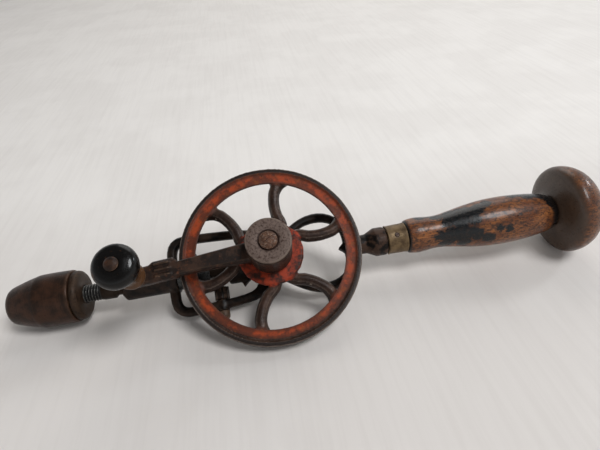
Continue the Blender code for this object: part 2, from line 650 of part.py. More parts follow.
def make_cap_and_screw(parent, steel):
    """The cap washer with its ring recess, and the slotted screw that holds the crank."""
    edge = CAP_THICKNESS / 4
    hole = SCREW_SHANK_RADIUS + CLEARANCE
    floor = CAP_FRONT - CAP_RECESS_DEPTH
    outline = [
        (CAP_BACK, hole), (CAP_BACK, CAP_RADIUS - edge), (CAP_BACK + edge, CAP_RADIUS),
        (CAP_FRONT - edge, CAP_RADIUS), (CAP_FRONT, CAP_RADIUS - edge),
        (CAP_FRONT, CAP_RECESS_RADIUS), (floor, CAP_RECESS_RADIUS), (floor, hole),
    ]
    solid("crank_cap", turned(outline, "Z", FINE), parent, steel)
    seat = floor + CLEARANCE
    top = seat + SCREW_HEAD_HEIGHT
    end = AXLE_TOP - SCREW_SHANK_LENGTH + CLEARANCE
    outline = [
        (end, 0), (end, SCREW_SHANK_RADIUS), (seat, SCREW_SHANK_RADIUS), (seat, SCREW_HEAD_RADIUS),
        *((seat + SCREW_HEAD_HEIGHT * high, SCREW_HEAD_RADIUS * wide)
          for high, wide in SCREW_HEAD_SHARES),
        (top, 0),
    ]
    screw = solid("crank_screw", turned(outline, "Z", COARSE), parent, steel)
    half_slot = SCREW_SLOT_WIDTH / 2
    slot_floor = top - SCREW_HEAD_HEIGHT / 2
    slot_end = SCREW_HEAD_RADIUS + OVERRUN
    slot = prism([(-half_slot, slot_floor), (half_slot, slot_floor),
                  (half_slot, top + OVERRUN), (-half_slot, top + OVERRUN)],
                 "X", -slot_end, slot_end)
    bmesh.ops.rotate(slot, verts=slot.verts, matrix=Matrix.Rotation(SCREW_SLOT_ANGLE, 3, "Z"))
    cut(screw, slot)


def make_knob(wheel_frame, knob_frame, wood, iron):
    """The knob spins on a long rivet, on a washer that parts it from the arm."""
    hole = KNOB_RIVET_RADIUS + CLEARANCE
    outline = [(KNOB_BASE + KNOB_HEIGHT * share, KNOB_RADIUS * wide) for share, wide in KNOB_SHARES]
    outline = [(KNOB_BASE, hole), *outline, (KNOB_TOP, hole)]
    solid("knob", turned(outline, "Z", MEDIUM), knob_frame, wood)
    washer_back = ARM_FRONT + CLEARANCE
    washer_front = washer_back + KNOB_WASHER_THICKNESS
    outline = [(washer_back, hole), (washer_back, KNOB_WASHER_RADIUS),
               (washer_front, KNOB_WASHER_RADIUS), (washer_front, hole)]
    solid("knob_washer", turned(outline, "Z", COARSE), wheel_frame, iron, KNOB_PLACE)
    head_back = KNOB_TOP + CLEARANCE
    head_top = head_back + KNOB_RIVET_HEAD_HEIGHT
    tail_front = ARM_BACK - CLEARANCE
    tail_height_share, tail_radius_share = KNOB_RIVET_TAIL_SHARES
    tail_back = tail_front - KNOB_RIVET_HEAD_HEIGHT * tail_height_share
    outline = [
        (tail_back, 0), (tail_back, KNOB_RIVET_HEAD_RADIUS * tail_radius_share),
        (tail_front, KNOB_RIVET_HEAD_RADIUS), (tail_front, KNOB_RIVET_RADIUS),
        (head_back, KNOB_RIVET_RADIUS), (head_back, KNOB_RIVET_HEAD_RADIUS),
        *((head_back + KNOB_RIVET_HEAD_HEIGHT * high, KNOB_RIVET_HEAD_RADIUS * wide)
          for high, wide in KNOB_RIVET_HEAD_SHARES),
        (head_top, 0),
    ]
    solid("knob_rivet", turned(outline, "Z", COARSE), wheel_frame, iron, KNOB_PLACE)


def make_spindle(parent, steel):
    """One turned shaft: its end backs the jaws, then chuck thread, collar, neck and journal."""
    end = CLEARANCE - JAW_BACK
    tail = -SPINDLE_TAIL
    chamfer = THREAD_RADIUS / 6
    groove = COLLAR_RADIUS - NECK_RADIUS
    outline = [
        (end, 0), (end, THREAD_RADIUS - chamfer), (end + chamfer, THREAD_RADIUS),
        (-COLLAR_FRONT - chamfer, THREAD_RADIUS), (-COLLAR_FRONT, THREAD_RADIUS - chamfer),
        (-COLLAR_FRONT, COLLAR_RADIUS - chamfer / 2), (-COLLAR_FRONT + chamfer, COLLAR_RADIUS),
        (-COLLAR_BACK - groove, COLLAR_RADIUS), (-COLLAR_BACK, NECK_RADIUS),
        (-NOSE_END - groove, NECK_RADIUS), (-NOSE_END, SPINDLE_RADIUS),
        (tail - chamfer, SPINDLE_RADIUS), (tail, SPINDLE_RADIUS - chamfer), (tail, 0),
    ]
    spindle = solid("spindle", turned(outline, "X", MEDIUM), parent, steel)
    cut(spindle, rod("Z", -2 * SPINDLE_RADIUS, 2 * SPINDLE_RADIUS, PINION_PIN_RADIUS + CLEARANCE,
                     centre=(-PINION_PIN_PLACE, 0, 0)))


def make_pinion(parent, steel):
    """Bevel pinion in mesh with the back of the rim, pinned on the spindle."""
    turn = pi / PINION_TEETH
    sections = [pinion_section(PINION_BACK, turn), pinion_section(PINION_FRONT, turn)]
    pinion = solid("pinion", lofted(sections), parent, steel)
    bore = SPINDLE_RADIUS + CLEARANCE
    inner = PINION_FACE / 4
    hub_start = -PINION_BACK - PINION_BACK_HUB
    hub_end = -PINION_FRONT + PINION_FRONT_HUB
    for start, end, radius in ((hub_start, -PINION_BACK + inner, PINION_BACK_HUB_RADIUS),
                               (-PINION_FRONT - inner, hub_end, PINION_FRONT_HUB_RADIUS)):
        hub = [(start, bore), (start, radius), (end, radius), (end, bore)]
        add(pinion, turned(hub, "X", MEDIUM))
    cut(pinion, rod("X", hub_start - OVERRUN, hub_end + OVERRUN, bore, MEDIUM))
    reach = PINION_FRONT_HUB_RADIUS
    cut(pinion, rod("Z", -reach - OVERRUN, reach + OVERRUN, PINION_PIN_RADIUS + CLEARANCE,
                    centre=(-PINION_PIN_PLACE, 0, 0)))
    pin = rod("Z", -reach, reach, PINION_PIN_RADIUS, centre=(-PINION_PIN_PLACE, 0, 0))
    solid("pinion_pin", pin, parent, steel)
    back = hub_start - CLEARANCE
    front = back - THRUST_WASHER_THICKNESS
    outline = [(front, bore), (front, THRUST_WASHER_RADIUS),
               (back, THRUST_WASHER_RADIUS), (back, bore)]
    solid("thrust_washer", turned(outline, "X", MEDIUM), parent, steel)


def make_chuck(shell_frame, slide_frame, jaw_frames, steel):
    """Shell and ring screw along the spindle's thread, and the cone inside closes three jaws."""
    nose = -CHUCK_NOSE
    mouth = JAW_SOCKET_RADIUS + JAW_CLOSING
    cone_end = nose + (CHUCK_BORE_RADIUS - mouth) / tan(JAW_CONE_ANGLE)
    edge = CHUCK_NOSE_RADIUS / 7
    barrel = [(nose + CHUCK_SHELL_LENGTH * share, CHUCK_RADIUS * wide)
              for share, wide in CHUCK_BARREL_SHARES]
    outline = [
        (nose, mouth), (nose, CHUCK_NOSE_RADIUS - edge), (nose + edge / 2, CHUCK_NOSE_RADIUS),
        *barrel, (-CHUCK_SHELL_BACK, CHUCK_BORE_RADIUS), (cone_end, CHUCK_BORE_RADIUS),
    ]
    solid("chuck_shell", turned(outline, "X", FINE), shell_frame, steel)

    thread_hole = THREAD_RADIUS + CLEARANCE
    spigot = CHUCK_BORE_RADIUS - CLEARANCE
    edge = CHUCK_RING_LENGTH / 5
    spigot_front = -CHUCK_SHELL_BACK - CHUCK_SPIGOT_LENGTH
    outline = [
        (spigot_front, thread_hole), (spigot_front, spigot), (-CHUCK_RING_FRONT, spigot),
        (-CHUCK_RING_FRONT, CHUCK_RING_RADIUS), (-CHUCK_BACK - edge, CHUCK_RING_RADIUS),
        (-CHUCK_BACK - edge / 4, CHUCK_RING_RADIUS - edge),
        (-CHUCK_BACK, CHUCK_RING_RADIUS - 2 * edge), (-CHUCK_BACK, thread_hole),
    ]
    solid("chuck_ring", turned(outline, "X", FINE), shell_frame, steel)

    back = spigot_front - CLEARANCE
    front = back - FOLLOWER_THICKNESS
    outline = [(front, thread_hole), (front, spigot), (back, spigot), (back, thread_hole)]
    solid("jaw_follower", turned(outline, "X", MEDIUM), slide_frame, steel)
    for index, frame in enumerate(jaw_frames):
        make_jaw(index, frame, steel)


def make_jaw(index, frame, steel):
    """A third of a cone, made where it fits the shell when closed, then set back to open."""
    slope = tan(JAW_CONE_ANGLE)
    grip = JAW_SOCKET_RADIUS - JAW_CLOSING
    front_radius = JAW_SOCKET_RADIUS + JAW_RECESS * slope - CLEARANCE / cos(JAW_CONE_ANGLE)
    top = CHUCK_BORE_RADIUS - JAW_CLOSING - CLEARANCE
    shoulder = min((top - front_radius) / slope - JAW_FRONT, -JAW_BACK)
    outline = [(-JAW_FRONT, grip), (-JAW_FRONT, front_radius), (shoulder, top),
               (-JAW_BACK, top), (-JAW_BACK, grip)]
    middle = 2 * pi * index / JAWS
    jaw = solid(f"jaw_{index + 1}", turned(outline, "X", FINE), frame, steel,
                along("X", 0, JAW_CLOSING, middle))
    reach = 2 * CHUCK_RADIUS
    for hand in (1, -1):
        swing = middle + hand * pi / JAWS
        normal = along("X", 0, hand, swing + pi / 2)
        radial = along("X", 0, 1, swing)
        near = -normal * JAW_SIDE_GAP
        far = normal * reach
        corners = [near - radial * reach, near + radial * reach, far + radial * reach,
                   far - radial * reach]
        cut(jaw, lofted([[Vector((x, 0, 0)) + corner for corner in corners]
                         for x in (-JAW_FRONT - OVERRUN, -JAW_BACK + OVERRUN)]))


def half_loop(points, start, length):
    """One side of a loop's bar above the spindle, from its points as shares of the loop."""
    return smooth_curve([(start + length * x, LOOP_HEIGHT / 2 * y, 0) for x, y in points], 2)


def loop_bar(outer, inner):
    """A closed bar with a rounded section between an outer and an inner line, mirrored below."""
    mirrored = Vector((1, -1, 1))
    outer = outer + [point * mirrored for point in outer[-2:0:-1]]
    inner = inner + [point * mirrored for point in inner[-2:0:-1]]
    section_shares = ((0, -0.5), (0.25, -0.95), (0.75, -0.95), (1, -0.5),
                      (1, 0.5), (0.75, 0.95), (0.25, 0.95), (0, 0.5))
    sections = []
    for far, near in zip(outer, inner):
        sections.append([near.lerp(far, u) + Vector((0, 0, BAR_DEPTH / 2 * v))
                         for u, v in section_shares])
    return lofted(sections, closed_path=True)


def cusp(tip, base, width):
    """A pointed fin in the frame's plane, from a base on the bar to its tip."""
    across = Vector((base.y - tip.y, tip.x - base.x, 0)).normalized() * width / 2
    waist_share = 0.46
    waist = base.lerp(tip, 0.5)
    outline = [base + across, waist + across * waist_share, tip, waist - across * waist_share,
               base - across]
    return prism([(p.x, p.y) for p in outline], "Z", -CUSP_THICKNESS / 2, CUSP_THICKNESS / 2)


def make_frame(parent, iron):
    """Two cast loops that meet at the axle, a nose for the spindle and a tail for the grip."""
    outer_points, inner_points = zip(*FRONT_LOOP_SHARES)
    front_loop = loop_bar(half_loop(outer_points, -LOOP_OUTSIDE, LOOP_OUTSIDE),
                          half_loop(inner_points, -LOOP_INSIDE, LOOP_INSIDE))
    frame = solid("frame", front_loop, parent, iron)
    outer_points, inner_points = zip(*REAR_LOOP_SHARES)
    add(frame, loop_bar(half_loop(outer_points, 0, REAR_LOOP_LENGTH),
                        half_loop(inner_points, 0, REAR_LOOP_LENGTH)))
    boss_edge = AXLE_BOSS_RADIUS / 10
    boss = [
        (BOSS_BACK, 0), (BOSS_BACK, AXLE_BOSS_RADIUS - boss_edge),
        (BOSS_BACK + boss_edge, AXLE_BOSS_RADIUS),
        (AXLE_BOSS_FRONT - boss_edge, AXLE_BOSS_RADIUS),
        (AXLE_BOSS_FRONT, AXLE_BOSS_RADIUS - boss_edge), (AXLE_BOSS_FRONT, 0),
    ]
    add(frame, turned(boss, "Z", MEDIUM))
    nose_edge = NOSE_CONE * NOSE_FILLET_SHARE
    nose = [
        (-NOSE_END, 0), (-NOSE_END, NECK_RADIUS + 2 * CLEARANCE),
        (-NOSE_END + NOSE_CONE, NOSE_RADIUS),
        (-LOOP_OUTSIDE, NOSE_RADIUS), (-LOOP_OUTSIDE + nose_edge, NOSE_RADIUS + nose_edge / 2),
        (-LOOP_INSIDE, NOSE_RADIUS + nose_edge / 2), (-LOOP_INSIDE, 0),
    ]
    add(frame, turned(nose, "X", MEDIUM))
    swell = REAR_BEARING_RADIUS + REAR_BEARING_SWELL
    bearing = [
        (-REAR_BEARING_REACH, 0), (-REAR_BEARING_REACH, REAR_BEARING_RADIUS - boss_edge),
        (-REAR_BEARING_REACH + boss_edge, swell), (-HUB_RADIUS - 2 * boss_edge, swell),
        (-HUB_RADIUS - boss_edge, REAR_BEARING_RADIUS), (0, REAR_BEARING_RADIUS), (0, 0),
    ]
    add(frame, turned(bearing, "X", MEDIUM))
    add(frame, turned(tail_outline(), "X", MEDIUM))
    add_frame_details(frame)
    cut(frame, rod("X", -NOSE_END - OVERRUN, CLEARANCE - SPINDLE_TAIL, SPINDLE_RADIUS + CLEARANCE,
                   MEDIUM))
    cut(frame, rod("Z", BOSS_BACK - OVERRUN, AXLE_BOSS_FRONT + OVERRUN,
                   AXLE_RADIUS + CLEARANCE, MEDIUM))
    cut(frame, rod("Y", -LOOP_HEIGHT, -LOOP_HEIGHT / 4, STUD_RADIUS + CLEARANCE,
                   centre=(-STUD_PLACE, 0, 0)))
    cut(frame, rod("Z", -TAIL_SWELL_RADIUS, TAIL_SWELL_RADIUS, FERRULE_PIN_RADIUS + CLEARANCE,
                   centre=(FERRULE_PIN_PLACE, 0, 0)))


def tail_outline():
    """The tail behind the rear loop: neck, swell, and the tang inside the handle."""
    start = REAR_LOOP_LENGTH - LOOP_WALL / 2
    tang_end = TAIL_END + TANG_LENGTH
    neck_end = REAR_LOOP_LENGTH + TAIL_LENGTH * TAIL_NECK_SHARE
    swell_start = REAR_LOOP_LENGTH + TAIL_LENGTH * TAIL_SWELL_SHARE
    between = (neck_end + swell_start) / 2
    chamfer = TANG_RADIUS / 4
    return [
        (start, 0), (start, TAIL_NECK_RADIUS), (neck_end, TAIL_NECK_RADIUS),
        (between, (TAIL_NECK_RADIUS + TAIL_SWELL_RADIUS) / 2), (swell_start, TAIL_SWELL_RADIUS),
        (TAIL_END - chamfer, TAIL_SWELL_RADIUS), (TAIL_END, TAIL_SWELL_RADIUS - chamfer / 2),
        (TAIL_END, TANG_RADIUS), (tang_end - chamfer, TANG_RADIUS),
        (tang_end, TANG_RADIUS - chamfer), (tang_end, 0),
    ]


def add_frame_details(frame):
    """Cusps into both openings, and the pad in the lower bar that takes the side stud."""
    rear_inside = REAR_LOOP_LENGTH * REAR_LOOP_SHARES[-1][1][0]
    base = Vector((rear_inside + REAR_CUSP_REACH / 2, 0, 0))
    tip = Vector((rear_inside - REAR_CUSP_REACH, 0, 0))
    add(frame, cusp(tip, base, REAR_CUSP_WIDTH))
    middle = -(AXLE_BOSS_RADIUS + LOWER_CUSP_WIDTH)
    lower_side = -REAR_BEARING_RADIUS - REAR_BEARING_SWELL
    base = Vector((middle + LOWER_CUSP_WIDTH / 6, lower_side + LOWER_CUSP_REACH / 2, 0))
    tip = Vector((middle, lower_side - LOWER_CUSP_REACH, 0))
    add(frame, cusp(tip, base, LOWER_CUSP_WIDTH))
    low, high = stud_seat()
    add(frame, rod("Y", low, high, STUD_END_RADIUS + CLEARANCE, centre=(-STUD_PLACE, 0, 0)))


def stud_seat():
    """The lower and upper face of the pad that the stud passes through."""
    outer_share, inner_share = STUD_BAR_SHARES
    half_height = LOOP_HEIGHT / 2
    return -half_height * outer_share - CLEARANCE, -half_height * inner_share + CLEARANCE


def make_side_stud(parent, steel):
    """The short stud through the lower bar, with a domed eye below and a notched nut above."""
    pad_low, pad_high = stud_seat()
    low = pad_low - CLEARANCE
    high = pad_high + CLEARANCE
    end = low - STUD_END_LENGTH
    top = high + STUD_NUT_HEIGHT + CLEARANCE
    dome_steps = 4
    dome = [(end + STUD_END_RADIUS * (1 - cos(i * pi / 2 / dome_steps)),
             STUD_END_RADIUS * sin(i * pi / 2 / dome_steps)) for i in range(dome_steps + 1)]
    outline = [*dome, (low, STUD_END_RADIUS), (low, STUD_RADIUS), (top, STUD_RADIUS), (top, 0)]
    stud = solid("side_stud", turned(outline, "Y", COARSE), parent, steel, (-STUD_PLACE, 0, 0))
    eye = rod("Z", -2 * STUD_END_RADIUS, 2 * STUD_END_RADIUS, STUD_EYE_RADIUS,
              centre=(0, end + STUD_EYE_EDGE, 0))
    cut(stud, eye)
    notched = []
    for i in range(STUD_NUT_NOTCHES):
        for share, reach_share in STUD_NUT_NOTCH_SHARES:
            turn = (i + share) * 2 * pi / STUD_NUT_NOTCHES
            corner = along("Y", 0, STUD_NUT_RADIUS * reach_share, turn)
            notched.append((corner.x, corner.z))
    nut = solid("stud_nut", prism(notched, "Y", high, high + STUD_NUT_HEIGHT), parent, steel,
                (-STUD_PLACE, 0, 0))
    cut(nut, rod("Y", high - OVERRUN, high + STUD_NUT_HEIGHT + OVERRUN, STUD_RADIUS + CLEARANCE))


def make_handle(parent, wood, dark_wood, brass, steel):
    """Brass ferrule pinned to the tang, the turned grip, and the mushroom head on its tenon."""
    inner = FERRULE_RADIUS - FERRULE_WALL
    flared = FERRULE_RADIUS + FERRULE_FLARE
    edge = FERRULE_WALL / 3
    outline = [(FERRULE_FRONT, inner), (FERRULE_FRONT, FERRULE_RADIUS - edge),
               (FERRULE_FRONT + edge, FERRULE_RADIUS), (FERRULE_BACK - edge, flared),
               (FERRULE_BACK, flared - edge), (FERRULE_BACK, inner)]
    ferrule = solid("ferrule", turned(outline, "X", FINE), parent, brass)

    tenon = inner - CLEARANCE
    bore = TANG_RADIUS + CLEARANCE
    bore_end = TAIL_END + TANG_LENGTH + CLEARANCE
    body = [(GRIP_FRONT + GRIP_LENGTH * share, GRIP_RADIUS * wide) for share, wide in GRIP_SHARES]
    outline = [
        (bore_end, 0), (bore_end, bore), (FERRULE_FRONT + CLEARANCE, bore),
        (FERRULE_FRONT + CLEARANCE, tenon), (GRIP_FRONT, tenon), *body,
        (GRIP_BACK, GRIP_TENON_RADIUS), (GRIP_BACK + GRIP_TENON_LENGTH, GRIP_TENON_RADIUS),
        (GRIP_BACK + GRIP_TENON_LENGTH, 0),
    ]
    grip = solid("handle_grip", turned(outline, "X", FINE), parent, wood)

    socket = GRIP_TENON_RADIUS + CLEARANCE
    socket_end = GRIP_BACK + GRIP_TENON_LENGTH + CLEARANCE
    dome = [(HEAD_FRONT + HEAD_LENGTH * share, HEAD_RADIUS * wide) for share, wide in HEAD_SHARES]
    outline = [(socket_end, 0), (socket_end, socket), (HEAD_FRONT, socket), *dome]
    solid("handle_head", turned(outline, "X", FINE), parent, dark_wood)

    place = (FERRULE_PIN_PLACE, 0, 0)
    hole = FERRULE_PIN_RADIUS + CLEARANCE
    for piece in (ferrule, grip):
        cut(piece, rod("Z", -2 * flared, 2 * flared, hole, centre=place))
    end = flared
    dome_rise = FERRULE_PIN_RADIUS / 4
    outline = [(-end, 0), (-end, FERRULE_PIN_RADIUS), (end, FERRULE_PIN_RADIUS),
               (end + dome_rise, FERRULE_PIN_RADIUS / 2), (end + dome_rise, 0)]
    solid("ferrule_pin", turned(outline, "Z", COARSE, centre=place), parent, steel)


# Laying the tool on the floor

def corners_of(obj):
    """The corners of a piece, modifiers included, in world axes."""
    evaluated = obj.evaluated_get(bpy.context.evaluated_depsgraph_get())
    mesh = evaluated.to_mesh()
    corners = [obj.matrix_world @ vertex.co for vertex in mesh.vertices]
    evaluated.to_mesh_clear()
    return corners


def lay_down(tool):
    """Turns the tool until chuck, head and the lowest other piece touch the floor, centred."""
    bpy.context.view_layer.update()
    pieces = {obj.name: corners_of(obj) for obj in bpy.data.objects
              if obj.type == "MESH" and not obj.hide_render}
    chuck = pieces["chuck_shell"] + pieces["chuck_ring"]
    head = pieces["handle_head"]
    others = [corner for name in ("gear_wheel", "side_stud", "frame") for corner in pieces[name]]
    roll = radians(35)
    pitch = 0.0
    for _ in range(12):
        turn = Euler((roll, pitch, 0), "XYZ").to_matrix()
        front, side, back = (min((turn @ corner for corner in corners), key=lambda p: p.z)
                             for corners in (chuck, others, head))
        pitch += (back.z - front.z) / (back.x - front.x)
        level = front.z + (back.z - front.z) * (side.x - front.x) / (back.x - front.x)
        roll += (side.z - level) / hypot(side.y, side.z)
    turn = Euler((roll, pitch, 0), "XYZ").to_matrix()
    corners = [turn @ corner for piece in pieces.values() for corner in piece]
    low = [min(corner[i] for corner in corners) for i in range(3)]
    high = [max(corner[i] for corner in corners) for i in range(3)]
    tool.rotation_euler = (roll, pitch, 0)
    tool.location = (-(low[0] + high[0]) / 2, -(low[1] + high[1]) / 2, -low[2])


def joint_frame(name, parent, place=(0, 0, 0)):
    """An empty on a joint's axis, which carries the pieces that move with it."""
    empty = bpy.data.objects.new(name, None)
    bpy.context.scene.collection.objects.link(empty)
    empty.parent = parent
    empty.location = place
    empty.empty_display_size = WHEEL_RADIUS / 4
    return empty


def main():
    cleared_scene()
    black_iron = finish("black iron", (0.035, 0.032, 0.03), 0.42, 0.4)
    red_paint = finish("red paint", (0.42, 0.09, 0.04), 0.5)
    brown_iron = finish("brown iron", (0.16, 0.10, 0.07), 0.6, 0.6)
    grey_steel = finish("grey steel", (0.30, 0.26, 0.24), 0.42, 0.9)
    dark_steel = finish("dark steel", (0.13, 0.11, 0.10), 0.45, 0.8)
    black_wood = finish("black wood", (0.03, 0.026, 0.024), 0.25)
    worn_wood = finish("worn wood", (0.26, 0.12, 0.05), 0.45)
    brass = finish("aged brass", (0.33, 0.25, 0.13), 0.45, 0.9)

    tool = joint_frame("tool_frame", None)
    wheel_frame = joint_frame("wheel_frame", tool)
    spindle_frame = joint_frame("spindle_frame", tool)
    knob_frame = joint_frame("knob_frame", wheel_frame, KNOB_PLACE)
    slide_frame = joint_frame("chuck_slide_frame", spindle_frame)
    shell_frame = joint_frame("chuck_shell_frame", slide_frame)
    jaw_frames = [joint_frame(f"jaw_{i + 1}_frame", spindle_frame) for i in range(JAWS)]

    make_frame(tool, black_iron)
    make_side_stud(tool, dark_steel)
    make_handle(tool, worn_wood, black_wood, brass, grey_steel)
    make_gear_wheel(wheel_frame, red_paint)
    make_axle(wheel_frame, grey_steel)
    make_crank(wheel_frame, brown_iron)
    make_cap_and_screw(wheel_frame, grey_steel)
    make_knob(wheel_frame, knob_frame, black_wood, brown_iron)
    make_spindle(spindle_frame, dark_steel)
    make_pinion(spindle_frame, dark_steel)
    make_chuck(shell_frame, slide_frame, jaw_frames, dark_steel)
    lay_down(tool)


main()
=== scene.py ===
"""The looks of an old hand drill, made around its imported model.

Turned parts are extruded ring by ring, castings are rounded copies of the model's own nodes, and
every finish is procedural. Patterns are laid out in the tool's own axes, in millimetres: X runs
along the spindle to the handle, Z along the wheel's axle to the crank.
"""

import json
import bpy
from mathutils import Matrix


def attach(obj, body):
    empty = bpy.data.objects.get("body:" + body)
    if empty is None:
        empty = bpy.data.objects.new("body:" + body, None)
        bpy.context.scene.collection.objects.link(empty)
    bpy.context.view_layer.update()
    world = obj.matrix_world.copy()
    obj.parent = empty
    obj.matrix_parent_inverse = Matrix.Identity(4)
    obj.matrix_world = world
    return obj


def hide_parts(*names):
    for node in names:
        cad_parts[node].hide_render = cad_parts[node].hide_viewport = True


bl_info = {
    "name": "Hand drill looks",
    "version": (1, 0, 0),
    "blender": (4, 5, 0),
    "location": "3D View > Sidebar > Hand Drill",
    "description": "Dresses the packed model of an old hand drill",
    "category": "Object",
}

from math import pi, radians

import bpy
from bpy.props import FloatProperty, FloatVectorProperty, IntProperty, PointerProperty
from mathutils import Euler, Matrix, Vector

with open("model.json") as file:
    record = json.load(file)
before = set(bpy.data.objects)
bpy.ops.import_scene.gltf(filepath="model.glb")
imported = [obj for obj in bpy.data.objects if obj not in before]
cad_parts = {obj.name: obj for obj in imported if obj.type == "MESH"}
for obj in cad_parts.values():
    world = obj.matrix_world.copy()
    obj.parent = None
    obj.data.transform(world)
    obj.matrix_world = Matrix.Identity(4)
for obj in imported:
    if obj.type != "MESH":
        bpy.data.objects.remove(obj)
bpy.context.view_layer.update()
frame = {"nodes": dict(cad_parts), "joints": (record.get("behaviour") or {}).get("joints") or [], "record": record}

MM = 0.001
MERGE_DISTANCE = 0.001 * MM
CLEARANCE = 0.3 * MM
SHARP_ANGLE = radians(30)


# The tool's own axes, and the places of the model's nodes in them

def joint(name):
    """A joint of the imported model."""
    return next(row for row in frame["joints"] if row["name"] == name)


def tool_axes():
    """A matrix from the tool's axes to the world, from the spindle's and the axle's joints."""
    along = Vector(joint("spindle_turn")["axis"]).normalized()
    axle = Vector(joint("wheel_turn")["axis"]).normalized()
    across = axle.cross(along).normalized()
    axes = Matrix((along, across, along.cross(across))).transposed().to_4x4()
    axes.translation = Vector(joint("wheel_turn")["pos_m"])
    return axes


TOOL = tool_axes()


def tool_box(node):
    """The lowest and the highest corner of a node in the tool's axes."""
    inverse = TOOL.inverted()
    corners = [inverse @ vertex.co for vertex in frame["nodes"][node].data.vertices]
    return tuple(Vector(pick(corner[i] for corner in corners) for i in range(3))
                 for pick in (min, max))


def reach(node, axis):
    """How far a node reaches from its own middle along an axis of the tool."""
    low, high = tool_box(node)
    return (high[axis] - low[axis]) / 2


def crossing(pin):
    """Where a pin crosses the spindle's line, in the tool's axes."""
    low, high = tool_box(pin)
    return ((low.x + high.x) / 2, 0, 0)


def knob_centre():
    """The knob's axis in the tool's axes."""
    low, high = tool_box("knob")
    return ((low.x + high.x) / 2, (low.y + high.y) / 2, 0)


def color(red, green, blue):
    """A linear colour from display values of 0 to 255."""
    shares = [value / 255 for value in (red, green, blue)]
    return tuple(s / 12.92 if s <= 0.04045 else ((s + 0.055) / 1.055) ** 2.4 for s in shares)


def length_property(name, description, default):
    """A setting that is a length."""
    return FloatProperty(name=name, description=description, default=default, min=0,
                         unit="LENGTH", precision=5)


def color_property(name, description, red, green, blue):
    """A setting that is a colour, from display values of 0 to 255."""
    return FloatVectorProperty(name=name, description=description, subtype="COLOR", size=3,
                               min=0, max=1, default=color(red, green, blue))


# Sizes and colours that a user would change

class HandleSettings(bpy.types.PropertyGroup):
    grip_radius: length_property(
        "Grip radius", "Largest radius of the turned grip", reach("handle_grip", 1))
    head_radius: length_property(
        "Head radius", "Largest radius of the mushroom head", reach("handle_head", 1))
    wood: color_property("Wood", "Bare worn wood", 144, 88, 46)
    stain: color_property("Stain", "What is left of the black stain", 12, 14, 16)
    brass: color_property("Brass", "Aged brass of the ferrule", 112, 92, 66)


class KnobSettings(bpy.types.PropertyGroup):
    radius: length_property("Knob radius", "Largest radius of the crank's knob", reach("knob", 0))
    lacquer: color_property("Lacquer", "Black lacquer of the knob", 9, 7, 6)
    worn: color_property("Worn wood", "Wood where the lacquer is worn off", 84, 56, 34)


class IronSettings(bpy.types.PropertyGroup):
    grain: length_property("Casting grain", "Cell size of the castings' rounded skin", 0.48 * MM)
    spoke_swell: length_property("Spoke swell", "Widening of the spokes' sides", 0.6 * MM)
    black: color_property("Black iron", "The frame's black finish", 15, 12, 10)
    brown: color_property("Brown iron", "The crank's brown patina", 56, 38, 28)
    paint: color_property("Red paint", "Orange red paint of the wheel", 152, 62, 29)
    bare: color_property("Bare iron", "Worn iron of the spokes and rim", 64, 46, 37)


class SteelSettings(bpy.types.PropertyGroup):
    ring_steps: IntProperty(name="Ring steps", description="Corners of a turned ring",
                            default=72, min=24, max=128)
    thread_depth: length_property("Thread depth", "Depth of the spindle's thread", 0.75 * MM)
    chuck: color_property("Chuck", "Brown patina of the chuck", 58, 38, 28)
    ring: color_property("Ring", "Darker patina of the chuck's ring", 38, 26, 19)
    grey: color_property("Grey steel", "The crank's cap", 58, 42, 36)
    dark: color_property("Dark steel", "Spindle, pinion and jaws", 32, 31, 31)


class StageSettings(bpy.types.PropertyGroup):
    floor_width: length_property("Floor width", "Side of the square floor", 5.0)
    floor: color_property("Floor", "Pale floor near the tool", 222, 216, 211)
    backdrop: color_property("Backdrop", "Paler floor behind the tool", 236, 231, 226)
    horizon: FloatProperty(name="Horizon strength", description="Even light from the sides",
                           default=0.85, min=0, max=2)
    zenith: FloatProperty(name="Zenith strength", description="Even light from above",
                          default=0.15, min=0, max=2)
    key: FloatProperty(name="Key strength", description="Power of the large soft lamp",
                       default=25, min=0, max=100)
    top: FloatProperty(name="Top strength", description="Power of the soft lamp behind the tool",
                       default=11, min=0, max=100)
    window: FloatProperty(name="Window strength", description="Power of the small bright lamp",
                          default=3.6, min=0, max=100)


# Modelling helpers

def deselect():
    """Object mode, with nothing selected."""
    if bpy.context.object and bpy.context.object.mode != "OBJECT":
        bpy.ops.object.mode_set(mode="OBJECT")
    bpy.ops.object.select_all(action="DESELECT")


def activate(piece):
    """Selects one piece and makes it active."""
    deselect()
    piece.select_set(True)
    bpy.context.view_layer.objects.active = piece


def apply_modifier(piece, kind, **settings):
    """Adds a modifier to the piece, sets it and applies it."""
    activate(piece)
    bpy.ops.object.modifier_add(type=kind)
    modifier = piece.modifiers[-1]
    for name, value in settings.items():
        setattr(modifier, name, value)
    bpy.ops.object.modifier_apply(modifier=modifier.name)


def closed_up():
    """Merges the edited mesh's doubles, turns its faces outwards and leaves edit mode."""
    bpy.ops.mesh.select_all(action="SELECT")
    bpy.ops.mesh.remove_doubles(threshold=MERGE_DISTANCE)
    bpy.ops.mesh.normals_make_consistent(inside=False)
    bpy.ops.object.mode_set(mode="OBJECT")


def laid_in_tool(piece, axis, centre):
    """Turns a piece's own Z to an axis of the tool, and puts its place into its mesh."""
    turns = {"X": Euler((0, pi / 2, 0)), "Z": Euler((0, 0, 0))}
    piece.matrix_world = TOOL @ Matrix.Translation(centre) @ turns[axis].to_matrix().to_4x4()
    activate(piece)
    bpy.ops.object.transform_apply(location=True, rotation=True, scale=True)


